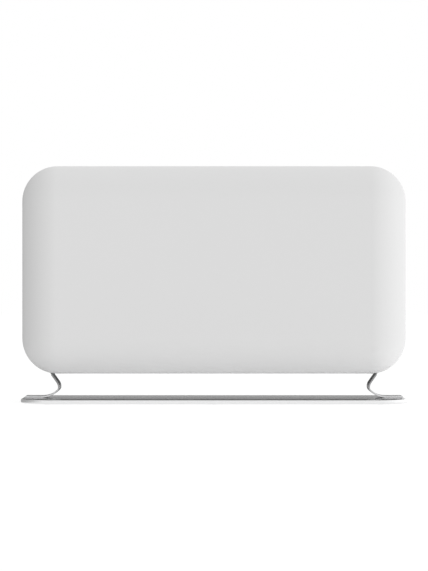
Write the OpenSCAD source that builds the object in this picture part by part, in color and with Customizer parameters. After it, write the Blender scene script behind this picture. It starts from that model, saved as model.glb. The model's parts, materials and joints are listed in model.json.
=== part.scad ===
// Convector heater: a rolled sheet steel casing on two bent strip legs and a low pressed base.
// Millimetres. +X is to the right of the front, +Y to the back and +Z up.
// The origin lies under the middle of the heater, on the surface that it stands on.

/* [Casing] */
// Width of the casing, end to end
body_w = 695; // [600:5:800]
// Height of the casing
body_h = 376; // [366:2:420]
// Depth of the casing, front face to back face
body_d = 120; // [112:1:132]
// Radius of the four corners of the face, and how far the roll reaches in from the edge
corner_r = 64; // [62:1:68]
// Depth of the roll, from the face back to the crest
roll_d = 44; // [43:0.5:45]
// Radius of the tight part of the roll, next to the crest
crest_r = 24; // [22:1:30]
// Thickness of the casing's sheet
sheet = 1.2; // [0.8:0.1:1.5]
// Width of the shadow gap between front panel and rear housing
seam = 1.5; // [1:0.1:2]
// How far the rear housing's lip reaches into the front panel
lip_reach = 8; // [6:0.5:9]
// Play between pieces of sheet that slide together
play = 0.3; // [0.2:0.05:0.4]

/* [Base] */
// How far the base stands out past each end of the casing
base_over = 1; // [0:0.5:6]
// Depth of the base, front to back
base_d = 190; // [170:5:230]
// Radius of the base's corners, seen from above
base_r = 60; // [50:2:70]
// Height of the base plate, without its pads
base_h = 7.6; // [7:0.2:10]
// Radius of the base plate's rolled edge
base_edge_r = 6; // [5:0.25:6.5]
// Thickness of the base plate's sheet
base_sheet = 2; // [1.5:0.25:3]
// Diameter of the rubber pads
pad_d = 26; // [18:1:34]
// How far the pads stand out below the base plate
pad_proud = 0.6; // [0.4:0.1:1.5]

/* [Legs] */
// Width of the leg strip
leg_w = 50; // [40:2:60]
// Thickness of the leg strip
leg_t = 3; // [2:0.25:4]
// Length of the flat foot
foot_len = 28; // [24:1:32]
// Radius and angle of the first bend, where the foot leaves the base
foot_bend_r = 39; // [35:1:42]
// Angle of that first bend
foot_angle = 30; // [26:1:34]
// Straight length between the first bend and the knee
shin_len = 12; // [9:1:14]
// Radius of the knee, which turns the strip upright
knee_r = 7.4; // [6:0.2:9]
// Radius of the bend above the knee
neck_r = 16.4; // [14:0.2:18]
// How far the upper part of the leg leans out from upright, in degrees
leg_lean = 35.5; // [31:0.5:38]
// Clear height between the base and the casing
casing_gap = 43.8; // [41:0.5:60]
// Length of the tongue's upright end inside the casing
tongue_len = 24; // [20:1:30]
// Radius of the bend in the tongue
tongue_r = 10; // [8:0.5:12]

/* [Air openings] */
// Distance from each end of the casing to the air outlet and the air inlet
vent_end = 107.5; // [104:0.5:140]
// Distance from the back of the casing to the openings
vent_inset = 18; // [16:1:22]
// Thickness of the grilles
grille_t = 2.6; // [2.2:0.1:3.2]
// Distance from one cross rib of a grille to the next
rib_pitch = 10; // [8:0.5:16]
// Width of a cross rib
rib_w = 3; // [2:0.25:4]
// Width of a grille's hidden flange
grille_flange = 3.5; // [3:0.25:5]

/* [Control pocket] */
// Distance from the end of the casing to the floor of the control pocket
pocket_depth = 28.5; // [27:0.5:30]
// Distance from the top of the casing to the top of the pocket
pocket_drop = 74; // [72:1:90]
// Height of the pocket
pocket_h = 124; // [122:1:134]
// Distance from the middle of the casing back to the front wall of the pocket
pocket_y = 8; // [7:0.5:9]
// Width of the pocket, front to back
pocket_w = 38; // [36:0.5:39]
// Wall of the moulded pocket
pocket_wall = 2; // [1.5:0.25:2.5]
// Diameter of the thermostat knob
knob_d = 32; // [26:1:33]
// Length of the thermostat knob
knob_len = 20; // [16:1:22]
// Diameter of the thermostat shaft
shaft_d = 6; // [5:0.5:7]
// Running clearance of the shaft and of the other pivots, on the radius
run_gap = 0.15; // [0.1:0.05:0.2]
// Length of a rocker switch's opening
rocker_l = 17; // [15:0.5:18]
// Width of a rocker switch's opening
rocker_w = 11; // [9:0.5:12]
// Half of the angle through which a rocker tips
rocker_tip = 12; // [8:1:13]
// Diameter of the pilot lamp's lens
lamp_d = 9; // [7:0.5:10]

/* [Heating] */
// Distance from each end of the casing to the finned part of the heating elements
fin_end = 105.5; // [101:0.5:130]
// Reach of each fin from the middle of its element
fin_reach = 33; // [28:1:36]
// Thickness of the fins
fin_t = 2; // [1.5:0.25:2.5]
// Distance from one slit in the fins to the next
slit_pitch = 22; // [18:1:30]
// Diameter of the sheathed heating tube
tube_d = 8; // [6.5:0.5:9]
// Height of the lower element above the underside of the casing
element_rise = 62; // [58:1:70]
// Distance from the lower element up to the upper one
element_pitch = 54; // [52:1:66]
// Thickness of the frame plates and heat shields
plate = 1; // [0.8:0.1:1.2]
// Distance from the left end of the casing to the left frame plate
left_bay = 83.5; // [79:0.5:86]
// Distance from the right end of the casing to the right frame plate
right_bay = 92.5; // [89:0.5:96]
// Distance from the front and the back of the casing to each heat shield
shield_gap = 14; // [12:0.5:15]

/* [Tip-over switch] */
// Length of the swinging weight's arm
arm_len = 24; // [20:1:28]
// Diameter of the swinging weight
weight_d = 18; // [14:1:20]

/* [Hidden] */
$fn = 64;

// Largest step in the bends of a strip, in degrees
bend_step = 3;
// How far a cutting shape runs past the surface that it cuts
past = 1;

// Heights and planes that the pieces share
base_top = pad_proud + base_h;
body_z = base_top + casing_gap;
body_mid = body_z + body_h / 2;
body_top = body_z + body_h;
crest_y = body_d / 2 - roll_d;
straight_x = body_w / 2 - corner_r;
straight_z = body_h / 2 - corner_r;
vent_w = body_w - 2 * vent_end;
vent_back = body_d / 2 - vent_inset;
fin_len = body_w - 2 * fin_end;
chamber_left = body_w / 2 - left_bay;
chamber_right = body_w / 2 - right_bay;
shield_y = body_d / 2 - shield_gap;

// The roll is two arcs that meet without a kink: a tight one at the crest and a wide one to the face
face_r = (pow(corner_r, 2) + pow(roll_d, 2) - 2 * corner_r * crest_r) / (2 * (roll_d - crest_r));
crest_at = [corner_r - crest_r, 0];
face_at = [0, roll_d - face_r];
blend_a = atan2(face_r - roll_d, corner_r - crest_r);

// Inset of the lip, so that it just clears the inside of the front panel's crest
lip_in = crest_r - sqrt(pow(crest_r - sheet, 2) - pow(lip_reach, 2)) + play;

// Where a path of [length, 0] and [radius, turn] steps ends, as [x, y, heading]
function along(path, i = 0, at = [0, 0, 0]) = i == len(path) ? at :
  let (run = path[i][0], turn = path[i][1], a = at[2], b = a + turn, s = sign(turn))
  along(path, i + 1, turn == 0
    ? [at[0] + run * cos(a), at[1] + run * sin(a), a]
    : [at[0] + s * run * (sin(b) - sin(a)), at[1] + s * run * (cos(a) - cos(b)), b]);

// A wedge with its point at the origin, long enough to cut a circle of radius r
module wedge(r, a0, a1) {
  polygon(concat([[0, 0]], [for (a = [a0, (a0 + a1) / 2, a1]) 2 * r * [cos(a), sin(a)]]));
}

// Part of a ring between two radii and two angles
module arc_band(r_out, r_in, a0, a1) {
  intersection() {
    difference() {
      circle(r_out);
      circle(r_in);
    }
    wedge(r_out, a0, a1);
  }
}

// Part of a disc between two angles
module sector(r, a0, a1) {
  intersection() {
    circle(r);
    wedge(r, a0, a1);
  }
}

// The point that lies a distance to the left of a place on a path
function beside(at, off) = [at[0] - off * sin(at[2]), at[1] + off * cos(at[2])];

// The points along one side of a strip that follows a path, with its bends in steps of a few degrees
function strip_side(path, off, i = 0, at = [0, 0, 0]) = i == len(path) ? [beside(at, off)] :
  let (run = path[i][0], turn = path[i][1], parts = max(1, ceil(abs(turn) / bend_step)))
  concat([for (k = [0 : parts - 1]) beside(k == 0 ? at : along([[run, turn * k / parts]], 0, at), off)],
    strip_side(path, off, i + 1, along([path[i]], 0, at)));

// The side view of a bent strip of thickness t
module bent_strip(path, t) {
  right = strip_side(path, -t / 2);
  polygon(concat(strip_side(path, t / 2), [for (i = [len(right) - 1 : -1 : 0]) right[i]]));
}

// The roll's sheet between two insets from its outer surface. x runs out from the corner axis to
// the crest, and y from the crest to the face.
module roll_wall(inset0, inset1) {
  translate(crest_at) arc_band(crest_r - inset0, crest_r - inset1, 0, blend_a);
  translate(face_at) arc_band(face_r - inset0, face_r - inset1, blend_a, 90);
}

// All that lies under the roll's surface, less an inset, with a flat band of depth below the crest
module roll_fill(inset, depth) {
  translate(crest_at) sector(crest_r - inset, 0, blend_a);
  translate(face_at) sector(face_r - inset, blend_a, 90);
  translate([0, -depth]) square([corner_r - inset, depth]);
}

// Carries a section round a rounded rectangle. The section's x runs out from the corner axes.
module around(w, h, r) {
  for (side = [0, 180]) {
    rotate(side) translate([w / 2 - r, 0, 0]) rotate([90, 0, 0])
      linear_extrude(h - 2 * r, center = true) children();
    rotate(side + 90) translate([h / 2 - r, 0, 0]) rotate([90, 0, 0])
      linear_extrude(w - 2 * r, center = true) children();
  }
  for (corner = [[1, 1, 0], [-1, 1, 90], [-1, -1, 180], [1, -1, 270]])
    translate([corner[0] * (w / 2 - r), corner[1] * (h / 2 - r), 0]) rotate(corner[2])
      rotate_extrude(angle = 90) children();
}

// Stands a drawing of the face upright, with its z running from the front crest to the front face
module to_front() {
  translate([0, -crest_y, body_mid]) rotate([90, 0, 0]) children();
}

// The same for the back, with z running from the rear crest to the back face
module to_back() {
  mirror([0, 1, 0]) to_front() children();
}

// Extrudes a drawing in y and z along x, centred on x = 0
module along_x(length) {
  rotate([90, 0, 90]) linear_extrude(length, center = true) children();
}

// Extrudes a drawing in x and z along y, centred on y = 0
module along_y(length) {
  rotate([90, 0, 0]) linear_extrude(length, center = true) children();
}

// A cylinder along x, from x0 to x1
module rod_x(r, x0, x1) {
  translate([x0, 0, 0]) rotate([0, 90, 0]) cylinder(r = r, h = x1 - x0);
}

// A cylinder along y, from y0 to y1
module rod_y(r, y0, y1) {
  translate([0, y0, 0]) rotate([-90, 0, 0]) cylinder(r = r, h = y1 - y0);
}

// A pan head screw that points along +x, with the underside of its head at the origin. Its rim, top
// and cross recess are shares of the head.
module pan_screw(d, length, head_d, head_h) {
  rim_h = 0.6 * head_h;
  top_r = 0.36 * head_d;
  cross_l = 0.55 * head_d;
  cross_w = 0.12 * head_d;
  rod_x(d / 2, 0, length);
  difference() {
    union() {
      rod_x(head_d / 2, -rim_h, 0);
      translate([-head_h, 0, 0]) rotate([0, 90, 0]) cylinder(r1 = top_r, r2 = head_d / 2, h = head_h - rim_h);
    }
    for (turn = [0, 90]) rotate([turn, 0, 0]) translate([-head_h, 0, 0])
      cube([head_h, cross_l, cross_w], center = true);
  }
}

// Screw sizes: diameter, head diameter and head height
screw_d = 3.5;
screw_head_d = 7;
screw_head_h = 2.4;
screw_len = 7;
screw_gap = 0.1;

// Casing: the side screws that hold the front panel
side_screw_low = 34;
side_screw_high = 10;
side_screw_z = [side_screw_low - straight_z, straight_z - side_screw_high];
side_screw_len = 8;
side_screw_in = 7;
side_screw_y = -crest_y + side_screw_in;
flush_rise = 1.3;
flush_r = 1.5;
tab_w = 18;
tab_t = 1.6;
tab_over = 5;
tab_gap = 1;
tab_in = sheet + play;
tab_front = crest_y + 0.95 * sqrt(pow(crest_r, 2) - pow(crest_r - sheet, 2));
tab_back = -side_screw_y - tab_over;

// A countersunk screw that points along +z, with its head flush with the origin
module flush_screw(gap, length) {
  cylinder(r1 = flush_r + flush_rise + gap, r2 = flush_r + gap, h = flush_rise);
  cylinder(r = flush_r + gap, h = length);
}

// One that enters the right-hand end of the casing
module side_screw(gap) {
  translate([body_w / 2, side_screw_y, 0]) rotate([0, -90, 0]) flush_screw(gap, side_screw_len);
}

// Places something at each of the four side screws
module at_side_screws() {
  for (side = [0, 1], z = side_screw_z) mirror([side, 0, 0]) translate([0, 0, body_mid + z]) children();
}

module front_panel() color("white") {
  difference() {
    union() {
      to_front() {
        around(body_w, body_h, corner_r) roll_wall(0, sheet);
        translate([0, 0, roll_d - sheet / 2])
          cube([2 * straight_x, 2 * straight_z, sheet], center = true);
      }
      at_side_screws() translate([body_w / 2 - tab_in - tab_t, -tab_front, -tab_w / 2])
        cube([tab_t, tab_front - tab_back, tab_w]);
    }
    at_side_screws() side_screw(screw_gap / 2);
  }
}

// The rear housing's section: roll, flat band, and the stepped lip that enters the front panel
module housing_section() {
  out = corner_r;
  lip = corner_r - lip_in;
  step = seam - 2 * crest_y;
  tip = -2 * crest_y - lip_reach;
  roll_wall(0, sheet);
  polygon([[out - sheet, 0], [out, 0], [out, step], [lip, step], [lip, tip], [lip - sheet, tip],
    [lip - sheet, step + sheet], [out - sheet, step + sheet]]);
}

// Air openings: the front edge lies just behind the step of the lip
vent_front = crest_y - seam - sheet - 2.5 * play - grille_flange;
grille_play = 0.4;
bar_deep = 9;
bar_w = 2;

// The part of the top roll between two insets and two distances behind the middle of the casing
module roof_slice(inset0, inset1, y0, y1, length) {
  along_x(length) intersection() {
    translate([crest_y, body_top - corner_r]) rotate(90) mirror([0, 1]) {
      roll_wall(inset0, inset1);
      translate([corner_r - inset1, -2 * crest_y]) square([inset1 - inset0, 2 * crest_y]);
    }
    translate([y0, body_mid]) square([y1 - y0, body_h]);
  }
}

// Turns something made for the top of the casing over to its underside
module to_underside() {
  translate([0, 0, 2 * body_mid]) mirror([0, 0, 1]) children();
}

module vent_cut() {
  translate([-vent_w / 2, -vent_front, body_top - corner_r + play])
    cube([vent_w, vent_front + vent_back, corner_r]);
}

module grille() {
  front = -vent_front + grille_play;
  back = vent_back - grille_play;
  width = vent_w - 2 * grille_play;
  ribs = floor((width - 2 * rib_pitch) / rib_pitch / 2) * 2;
  difference() {
    union() {
      roof_slice(0, grille_t, front, back, width);
      roof_slice(sheet + play, grille_t, front - grille_flange, back + grille_flange,
        width + 2 * grille_flange);
    }
    for (i = [0 : ribs - 1]) translate([(i - (ribs - 1) / 2) * rib_pitch, 0, 0])
      translate([(rib_w - rib_pitch) / 2, front + 2 * rib_w / 3, body_top - corner_r])
        cube([rib_pitch - rib_w, back - front - 4 * rib_w / 3, corner_r + 1]);
  }
  for (y = [front + (back - front) / 3, front + 2 * (back - front) / 3])
    roof_slice(0, bar_deep, y - bar_w / 2, y + bar_w / 2, ribs * rib_pitch);
}

module outlet_grille() color("white") grille();

module inlet_grille() color("white") to_underside() grille();

// Leg paths, in x and z, from the outer end of the left foot
leg_rise = along([[foot_len, 0], [foot_bend_r, foot_angle], [shin_len, 0], [knee_r, 90 - foot_angle],
  [neck_r, leg_lean]])[1];
shoulder_gap = 1;
thigh_len = (casing_gap - shoulder_gap - leg_t / 2 - leg_rise) / cos(leg_lean);
tongue_run = 9;
root_len = 2;
bolt_rise = 2;
bolt_head_h = 2.6;
bolt_nut_h = 3;
bolt_end = 5;
stud_in = 10;
nut_w = 9;
nut_h = 4;
stud_end = 0.4;
leg_path = [[foot_len, 0], [foot_bend_r, foot_angle], [shin_len, 0], [knee_r, 90 - foot_angle],
  [neck_r, leg_lean], [thigh_len, 0]];
shoulder = along(leg_path);
tongue_path = [[tongue_run, 0], [tongue_r, -leg_lean], [tongue_len, 0]];
tongue_bend = along(tongue_path, 0, shoulder);
leg_start = -body_w / 2 - base_over + base_edge_r;
leg_foot_z = base_top + leg_t / 2;
tongue_x = leg_start + tongue_bend[0];
tongue_top = leg_foot_z + tongue_bend[1];
tongue_w = 2 * (crest_y - seam - sheet - 4 * play);
slot_play = 0.5;
bolt_d = 4;
bolt_y = tongue_w / 4;
bolt_z = tongue_top - tongue_len / 2 + bolt_rise;
stud_d = 5;
stud_x = leg_start + foot_len / 2;
stud_y = leg_w / 2 - stud_in;
stud_len = base_sheet + nut_h + stud_end;

// Moves a drawing of the left leg to its place
module at_leg() {
  translate([leg_start, 0, leg_foot_z]) children();
}

module leg() {
  difference() {
    union() {
      at_leg() along_y(leg_w) bent_strip(leg_path, leg_t);
      at_leg() along_y(tongue_w) translate([shoulder[0], shoulder[1]]) rotate(shoulder[2]) {
        bent_strip(tongue_path, leg_t);
        translate([-root_len, -leg_t / 2]) square([2 * root_len, leg_t]);
      }
      for (side = [-1, 1]) translate([stud_x, side * stud_y, base_top - stud_len])
        cylinder(d = stud_d, h = stud_len + leg_t / 2);
    }
    for (side = [-1, 1]) translate([0, side * bolt_y, bolt_z])
      rod_x(bolt_d / 2 + screw_gap, tongue_x - leg_t, tongue_x + leg_t);
  }
}

module leg_left() color("silver") leg();

module leg_right() color("silver") mirror([1, 0, 0]) leg();

// The slot in the casing's underside that a leg's tongue passes
module tongue_slot() {
  at_leg() along_y(tongue_w + 2 * slot_play) translate([shoulder[0], shoulder[1]]) rotate(shoulder[2])
    translate([-2 * shoulder_gap, -leg_t / 2 - slot_play]) square([tongue_run, leg_t + 2 * slot_play]);
}

// Control pocket
pocket_x = body_w / 2 - pocket_depth;
pocket_top = body_top - pocket_drop;
pocket_mid_y = pocket_y + pocket_w / 2;
pocket_flange = 5;
knob_drop = 24;
lamp_drop = 27;
rocker_drop = 23;
rocker_pitch = 28;
knob_z = pocket_top - knob_drop;
lamp_z = knob_z - lamp_drop;
rocker_high_z = lamp_z - rocker_drop;
rocker_low_z = rocker_high_z - rocker_pitch;

// A block that holds the pocket and its walls, grown by a margin
module pocket_block(margin) {
  wall = pocket_wall + margin;
  translate([pocket_x - pocket_wall, pocket_y - wall, pocket_top - pocket_h - wall])
    cube([pocket_depth + pocket_wall + play, pocket_w + 2 * wall, pocket_h + 2 * wall]);
}

// All of the right-hand end of the casing under an inset, over the pocket's height and a margin
module end_block(inset, margin) {
  translate([straight_x, crest_y, pocket_top - pocket_h - margin])
    linear_extrude(pocket_h + 2 * margin) roll_fill(inset, 2 * crest_y);
}

// A sheet that follows the inside of the casing's end, between two insets and two distances
// behind the middle of the casing
module end_sheet(inset0, inset1, y0, y1, margin) {
  translate([0, 0, pocket_top - pocket_h - margin]) linear_extrude(pocket_h + 2 * margin)
    intersection() {
      translate([straight_x, crest_y]) {
        roll_wall(inset0, inset1);
        translate([corner_r - inset1, -2 * crest_y]) square([inset1 - inset0, 2 * crest_y]);
      }
      translate([straight_x, y0]) square([corner_r, y1 - y0]);
    }
}

module rear_housing() color("white") {
  difference() {
    to_back() {
      around(body_w, body_h, corner_r) housing_section();
      translate([0, 0, roll_d - sheet / 2])
        cube([2 * straight_x, 2 * straight_z, sheet], center = true);
    }
    vent_cut();
    to_underside() vent_cut();
    pocket_block(play);
    for (side = [0, 1]) mirror([side, 0, 0]) tongue_slot();
    at_side_screws() {
      side_screw(screw_gap);
      // Notches in the lip for the front panel's tabs
      translate([body_w / 2 - lip_in - sheet - tab_gap, -crest_y - lip_reach - tab_gap, -tab_w / 2 - tab_gap])
        cube([lip_in + tab_gap, lip_reach + seam + sheet + 1.5 * tab_gap, tab_w + 2 * tab_gap]);
    }
    at_chassis_screws() rod_y(screw_d / 2 + screw_gap, body_d / 2 - 2 * sheet, body_d / 2 + 1);
    at_bracket_screws() flush_screw(screw_gap, flush_rise + sheet);
    translate([gland_x, 0, gland_z]) rod_y(gland_d / 2 + play, body_d / 2 - 2 * sheet, body_d / 2 + 1);
  }
}

// Frame plates: their outline follows the inside of the casing
frame_gap = 2;
frame_in = lip_in + sheet + frame_gap;
flange_w = 13;
flange_low = 34;
flange_high = 14;
flange_z0 = body_mid - straight_z + flange_low;
flange_z1 = body_mid + straight_z - flange_high;
chassis_in = 14;
chassis_z = [flange_z0 + chassis_in, (flange_z0 + flange_z1) / 2, flange_z1 - chassis_in];
element_z = [body_z + element_rise, body_z + element_rise + element_pitch];
insulator_d = 16;

module casing_section(inset) {
  square([2 * (body_d / 2 - inset), 2 * straight_z], center = true);
  for (front = [0, 1], low = [0, 1]) mirror([front, 0]) mirror([0, low])
    translate([crest_y, straight_z]) rotate(90) mirror([0, 1]) roll_fill(inset, crest_y);
}

// One frame plate with its flange bent out along the back of the casing, on the +x side of x
module end_plate(x) {
  difference() {
    union() {
      translate([x + plate / 2, 0, body_mid]) along_x(plate) casing_section(frame_in);
      translate([x, 0, flange_z0])
        cube([plate, body_d / 2 - sheet, flange_z1 - flange_z0]);
      translate([x, body_d / 2 - sheet - plate, flange_z0])
        cube([flange_w, plate, flange_z1 - flange_z0]);
    }
    for (z = element_z) translate([0, 0, z])
      rod_x(insulator_d / 2 + screw_gap, x - past, x + plate + past);
    for (z = chassis_z) translate([x + plate + flange_w / 2, 0, z])
      rod_y(screw_d / 2 + screw_gap / 2, body_d / 2 - 3 * plate - sheet, body_d / 2);
    at_shield_screws(x) rod_x(shield_screw_d / 2 + screw_gap / 2, -2 * plate, 2 * plate);
  }
}

module end_plate_left() color("lightgray") mirror([1, 0, 0]) end_plate(chamber_left);

module end_plate_right() color("lightgray") {
  difference() {
    end_plate(chamber_right);
    translate([0, grommet_y, grommet_z]) rod_x(grommet_d / 2, chamber_right - past, wall_x + past);
  }
}

module at_chassis_screws() {
  for (z = chassis_z) {
    translate([chamber_right + plate + flange_w / 2, 0, z]) children();
    translate([-chamber_left - plate - flange_w / 2, 0, z]) children();
  }
}

module chassis_screws() color("silver") at_chassis_screws()
  translate([0, body_d / 2, 0]) rotate([0, 0, -90]) pan_screw(screw_d, screw_len, screw_head_d, screw_head_h);

module panel_screws() color("silver") at_side_screws() side_screw(0);

// Heat shields: sheets that line the air shaft, tied to the frame plates by bent tabs
shield_screw_d = 3;
shield_screw_head_d = 6;
shield_screw_head_h = 2;
shield_screw_end = 3;
shield_tab = 12;
shield_bend_r = 4;
front_hem = 18;
rear_hem = 6;
shield_foot = 34;
shield_head = 34;
shield_low = element_rise - shield_foot;
shield_high = body_h - shield_head;
shield_screw_low = 30;
shield_screw_high = 24;
shield_screw_z = [body_z + shield_low + shield_screw_low, body_z + shield_high - shield_screw_high];

module at_shield_screws(x) {
  for (side = [-1, 1], z = shield_screw_z)
    translate([x, side * (shield_y - shield_tab / 2 - plate), z]) children();
}

module heat_shield(hem) {
  x0 = -chamber_left + play;
  x1 = chamber_right - play;
  height = shield_high - shield_low;
  difference() {
    union() {
      translate([(x0 + x1) / 2, shield_y, body_z + shield_low]) along_x(x1 - x0)
        rotate(90) bent_strip([[height - hem, 0], [shield_bend_r, 45], [hem, 0]], plate);
      for (x = [x0, x1 - plate]) translate([x, shield_y - shield_tab - plate / 2, body_z + shield_low])
        cube([plate, shield_tab, height - hem]);
    }
    for (x = [x0, x1], z = shield_screw_z) translate([x, shield_y - shield_tab / 2 - plate, z])
      rod_x(shield_screw_d / 2 + screw_gap / 2, -5 * plate, 5 * plate);
  }
}

module front_heat_shield() color("lightgray") mirror([0, 1, 0]) heat_shield(front_hem);

module rear_heat_shield() color("lightgray") {
  difference() {
    heat_shield(rear_hem);
    translate([cutout_x, 0, cutout_z]) rod_y(cutout_d / 2 + play, shield_y - 3 * plate, shield_y + 3 * plate);
    translate([0, grommet_y, grommet_z])
      rod_x(grommet_d / 2 + grommet_rim * 2, chamber_right - 3 * plate, chamber_right);
  }
}

module shield_screw() {
  rotate([0, 180, 0])
    pan_screw(shield_screw_d, 2 * plate + play + shield_screw_end, shield_screw_head_d, shield_screw_head_h);
}

module shield_screws() color("silver") {
  at_shield_screws(chamber_right + plate) shield_screw();
  mirror([1, 0, 0]) at_shield_screws(chamber_left + plate) shield_screw();
}

// Heating elements
core_wall = 3;
core_d = tube_d + 2 * core_wall;
core_left = 2;
bead_d = 4;
slit_w = 1.6;

module element_fins(z) {
  slits = floor((fin_len - slit_pitch) / slit_pitch / 2) * 2 + 1;
  translate([0, 0, z]) difference() {
    along_x(fin_len) difference() {
      union() {
        circle(d = core_d);
        for (a = [45, 135]) rotate(a) square([2 * fin_reach, fin_t], center = true);
        for (a = [45 : 90 : 315]) rotate(a) translate([fin_reach, 0]) circle(d = bead_d);
      }
      circle(r = tube_d / 2 + screw_gap);
    }
    for (i = [0 : slits - 1]) translate([(i - (slits - 1) / 2) * slit_pitch, 0, 0])
      along_x(slit_w) difference() {
        square(2 * fin_reach - 2 * bead_d, center = true);
        circle(d = core_d + 2 * core_left);
      }
  }
}

pin_d = 3.2;
pin_len = 10;
insulator_len = 14;
collar_rim = 3;
collar_d = insulator_d + 2 * collar_rim;
collar_t = 4;
sleeve_out = 4;
clip_t = 1;
tube_end = 8;
tube_out = insulator_len + tube_end;

module element_tube(z) {
  x0 = -chamber_left - plate - tube_out;
  x1 = chamber_right + plate + tube_out;
  translate([0, 0, z]) {
    rod_x(tube_d / 2, x0, x1);
    rod_x(pin_d / 2, x0 - pin_len, x0);
    rod_x(pin_d / 2, x1, x1 + pin_len);
  }
}

module lower_element_fins() color("silver") element_fins(element_z[0]);
module lower_element_tube() color("dimgray") element_tube(element_z[0]);
module upper_element_fins() color("silver") element_fins(element_z[1]);
module upper_element_tube() color("dimgray") element_tube(element_z[1]);

module at_element_ends() {
  for (z = element_z) {
    translate([chamber_right + plate, 0, z]) children();
    translate([-chamber_left - plate, 0, z]) mirror([1, 0, 0]) children();
  }
}

// Ceramic bushes: the collar rests on the outside of the frame plate
module element_insulators() color("ivory") at_element_ends() difference() {
  union() {
    rod_x(collar_d / 2, 0, collar_t);
    rod_x(insulator_d / 2, collar_t + sleeve_out - insulator_len, collar_t + sleeve_out);
  }
  rod_x(tube_d / 2 + screw_gap, -insulator_len, insulator_len);
}

// Spring clips on the tube hold the bushes against the plates
module element_clips() color("silver") at_element_ends() difference() {
  rod_x(tube_d, collar_t + sleeve_out, collar_t + sleeve_out + clip_t);
  rod_x(tube_d / 2 + screw_gap / 2, collar_t, collar_t + sleeve_out + 2 * clip_t);
}

// Thermal cut-out: a disc on the back of the rear shield, with two tags
cutout_x = chamber_right / 2;
cutout_rise = 42;
cutout_z = body_z + element_rise + element_pitch + cutout_rise;
cutout_d = 14;
cutout_in = 2;
cutout_deep = 8;
ear = [28, 0.8, 15];
tag_t = 0.8;
tag_w = 5;
tag_l = 3;
tag_out = 2.5;
tag_apart = 3.5;

module thermal_cutout() color("dimgray") translate([cutout_x, shield_y + plate / 2, cutout_z]) {
  rod_y(cutout_d / 2, -cutout_in, cutout_deep);
  translate([0, ear[1] / 2, 0]) cube(ear, center = true);
  for (side = [-1, 1]) translate([side * tag_apart, cutout_deep + tag_out - tag_l / 2, 0])
    cube([tag_t, tag_l, tag_w], center = true);
}

// Control housing
switch_wall = 1.2;
switch_l = rocker_l + 2 * switch_wall;
switch_w = rocker_w + 2 * switch_wall;
bezel_end = 2.5;
bezel_side = 2;
bezel_l = rocker_l + 2 * bezel_end;
bezel_w = rocker_w + 2 * bezel_side;
bezel_t = 2;
switch_deep = 20;
lamp_lip = 0.8;
bush_d = 10;
knob_gap = 1;
control_screw_d = 3;
control_screw_head_d = 5;
control_screw_end = 4;
control_screw_z = 13;

module control_housing() color("gray") {
  rim = pocket_wall + pocket_flange;
  // The flange ends clear of the front panel's tabs
  flange_y = max(pocket_y - rim, play - tab_back);
  difference() {
    union() {
      intersection() {
        pocket_block(0);
        end_block(0, 2 * pocket_wall);
      }
      end_sheet(sheet + play, sheet + play + pocket_wall, flange_y, pocket_y + pocket_w + rim, rim);
    }
    translate([pocket_x, pocket_y, pocket_top - pocket_h])
      cube([pocket_depth + past, pocket_w, pocket_h]);
    translate([pocket_x, pocket_mid_y, 0]) {
      translate([0, 0, knob_z]) rod_x(bush_d / 2 + play, -pocket_wall - past, past);
      translate([0, 0, lamp_z]) rod_x(lamp_d / 2 - lamp_lip + play, -pocket_wall - past, past);
      for (z = [rocker_low_z, rocker_high_z]) translate([-pocket_wall / 2, 0, z])
        cube([pocket_wall + 2 * past, switch_w + play, switch_l + play], center = true);
      for (side = [-1, 1]) translate([0, 0, knob_z + side * control_screw_z])
        rod_x(control_screw_d / 2 + screw_gap, -pocket_wall - past, past);
    }
  }
}

module at_knob() {
  translate([pocket_x, pocket_mid_y, knob_z]) children();
}

// Thermostat: a bimetal block behind the pocket's floor, with a threaded bush through it
stat_flange = [2 * plate, 22, 34];
stat_case = [18, 18, 28];
bush_out = 0.6;
shaft_in = 13;
knob_cap = 3;
shaft_out = knob_len - knob_cap;
flat_len = 9;
flat_cut = 1;

module thermostat_body() color("dimgray") at_knob() {
  back = -pocket_wall;
  difference() {
    union() {
      translate([back - stat_flange[0] / 2, 0, 0]) cube(stat_flange, center = true);
      translate([back - stat_flange[0] - stat_case[0] / 2, 0, 0]) cube(stat_case, center = true);
      rod_x(bush_d / 2, back - plate, bush_out);
    }
    rod_x(shaft_d / 2 + run_gap, back - shaft_in - past, bush_out + past);
    for (side = [-1, 1]) translate([0, 0, side * control_screw_z])
      rod_x(control_screw_d / 2 + screw_gap / 2, back - control_screw_end - 3 * past, past);
  }
}

module thermostat_shaft() color("silver") at_knob() difference() {
  rod_x(shaft_d / 2, -pocket_wall - shaft_in, knob_gap + shaft_out);
  translate([knob_gap + shaft_out - flat_len, shaft_d / 2 - flat_cut, -shaft_d])
    cube([flat_len + past, shaft_d, 2 * shaft_d]);
}

// The knob: a skirt, and a fluted grip with a pointer line cut in its end. It rests at its lowest
// setting, with the pointer low and to the front.
skirt_t = 4;
skirt_rim = 2.5;
flutes = 12;
flute_r = 2.6;
flute_cut = 1;
grip_r = knob_d / 2 - skirt_rim;
pointer_w = 1.4;
pointer_cut = 0.8;
knob_rest = 135;

module thermostat_knob() color("gainsboro") at_knob() rotate([knob_rest, 0, 0]) difference() {
  union() {
    rod_x(knob_d / 2, knob_gap, knob_gap + skirt_t);
    translate([knob_gap + skirt_t / 2, 0, 0]) rotate([90, 0, 90]) linear_extrude(knob_len - skirt_t / 2)
      difference() {
        circle(grip_r);
        for (i = [0 : flutes - 1]) rotate((i + 0.5) * 360 / flutes)
          translate([grip_r + flute_r - flute_cut, 0]) circle(flute_r);
      }
  }
  rod_x(shaft_d / 2 + screw_gap / 2, 0, knob_gap + shaft_out);
  translate([knob_gap + knob_len - pointer_cut, -pointer_w / 2, grip_r / 3])
    cube([pointer_cut + past, pointer_w, grip_r]);
}

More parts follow.
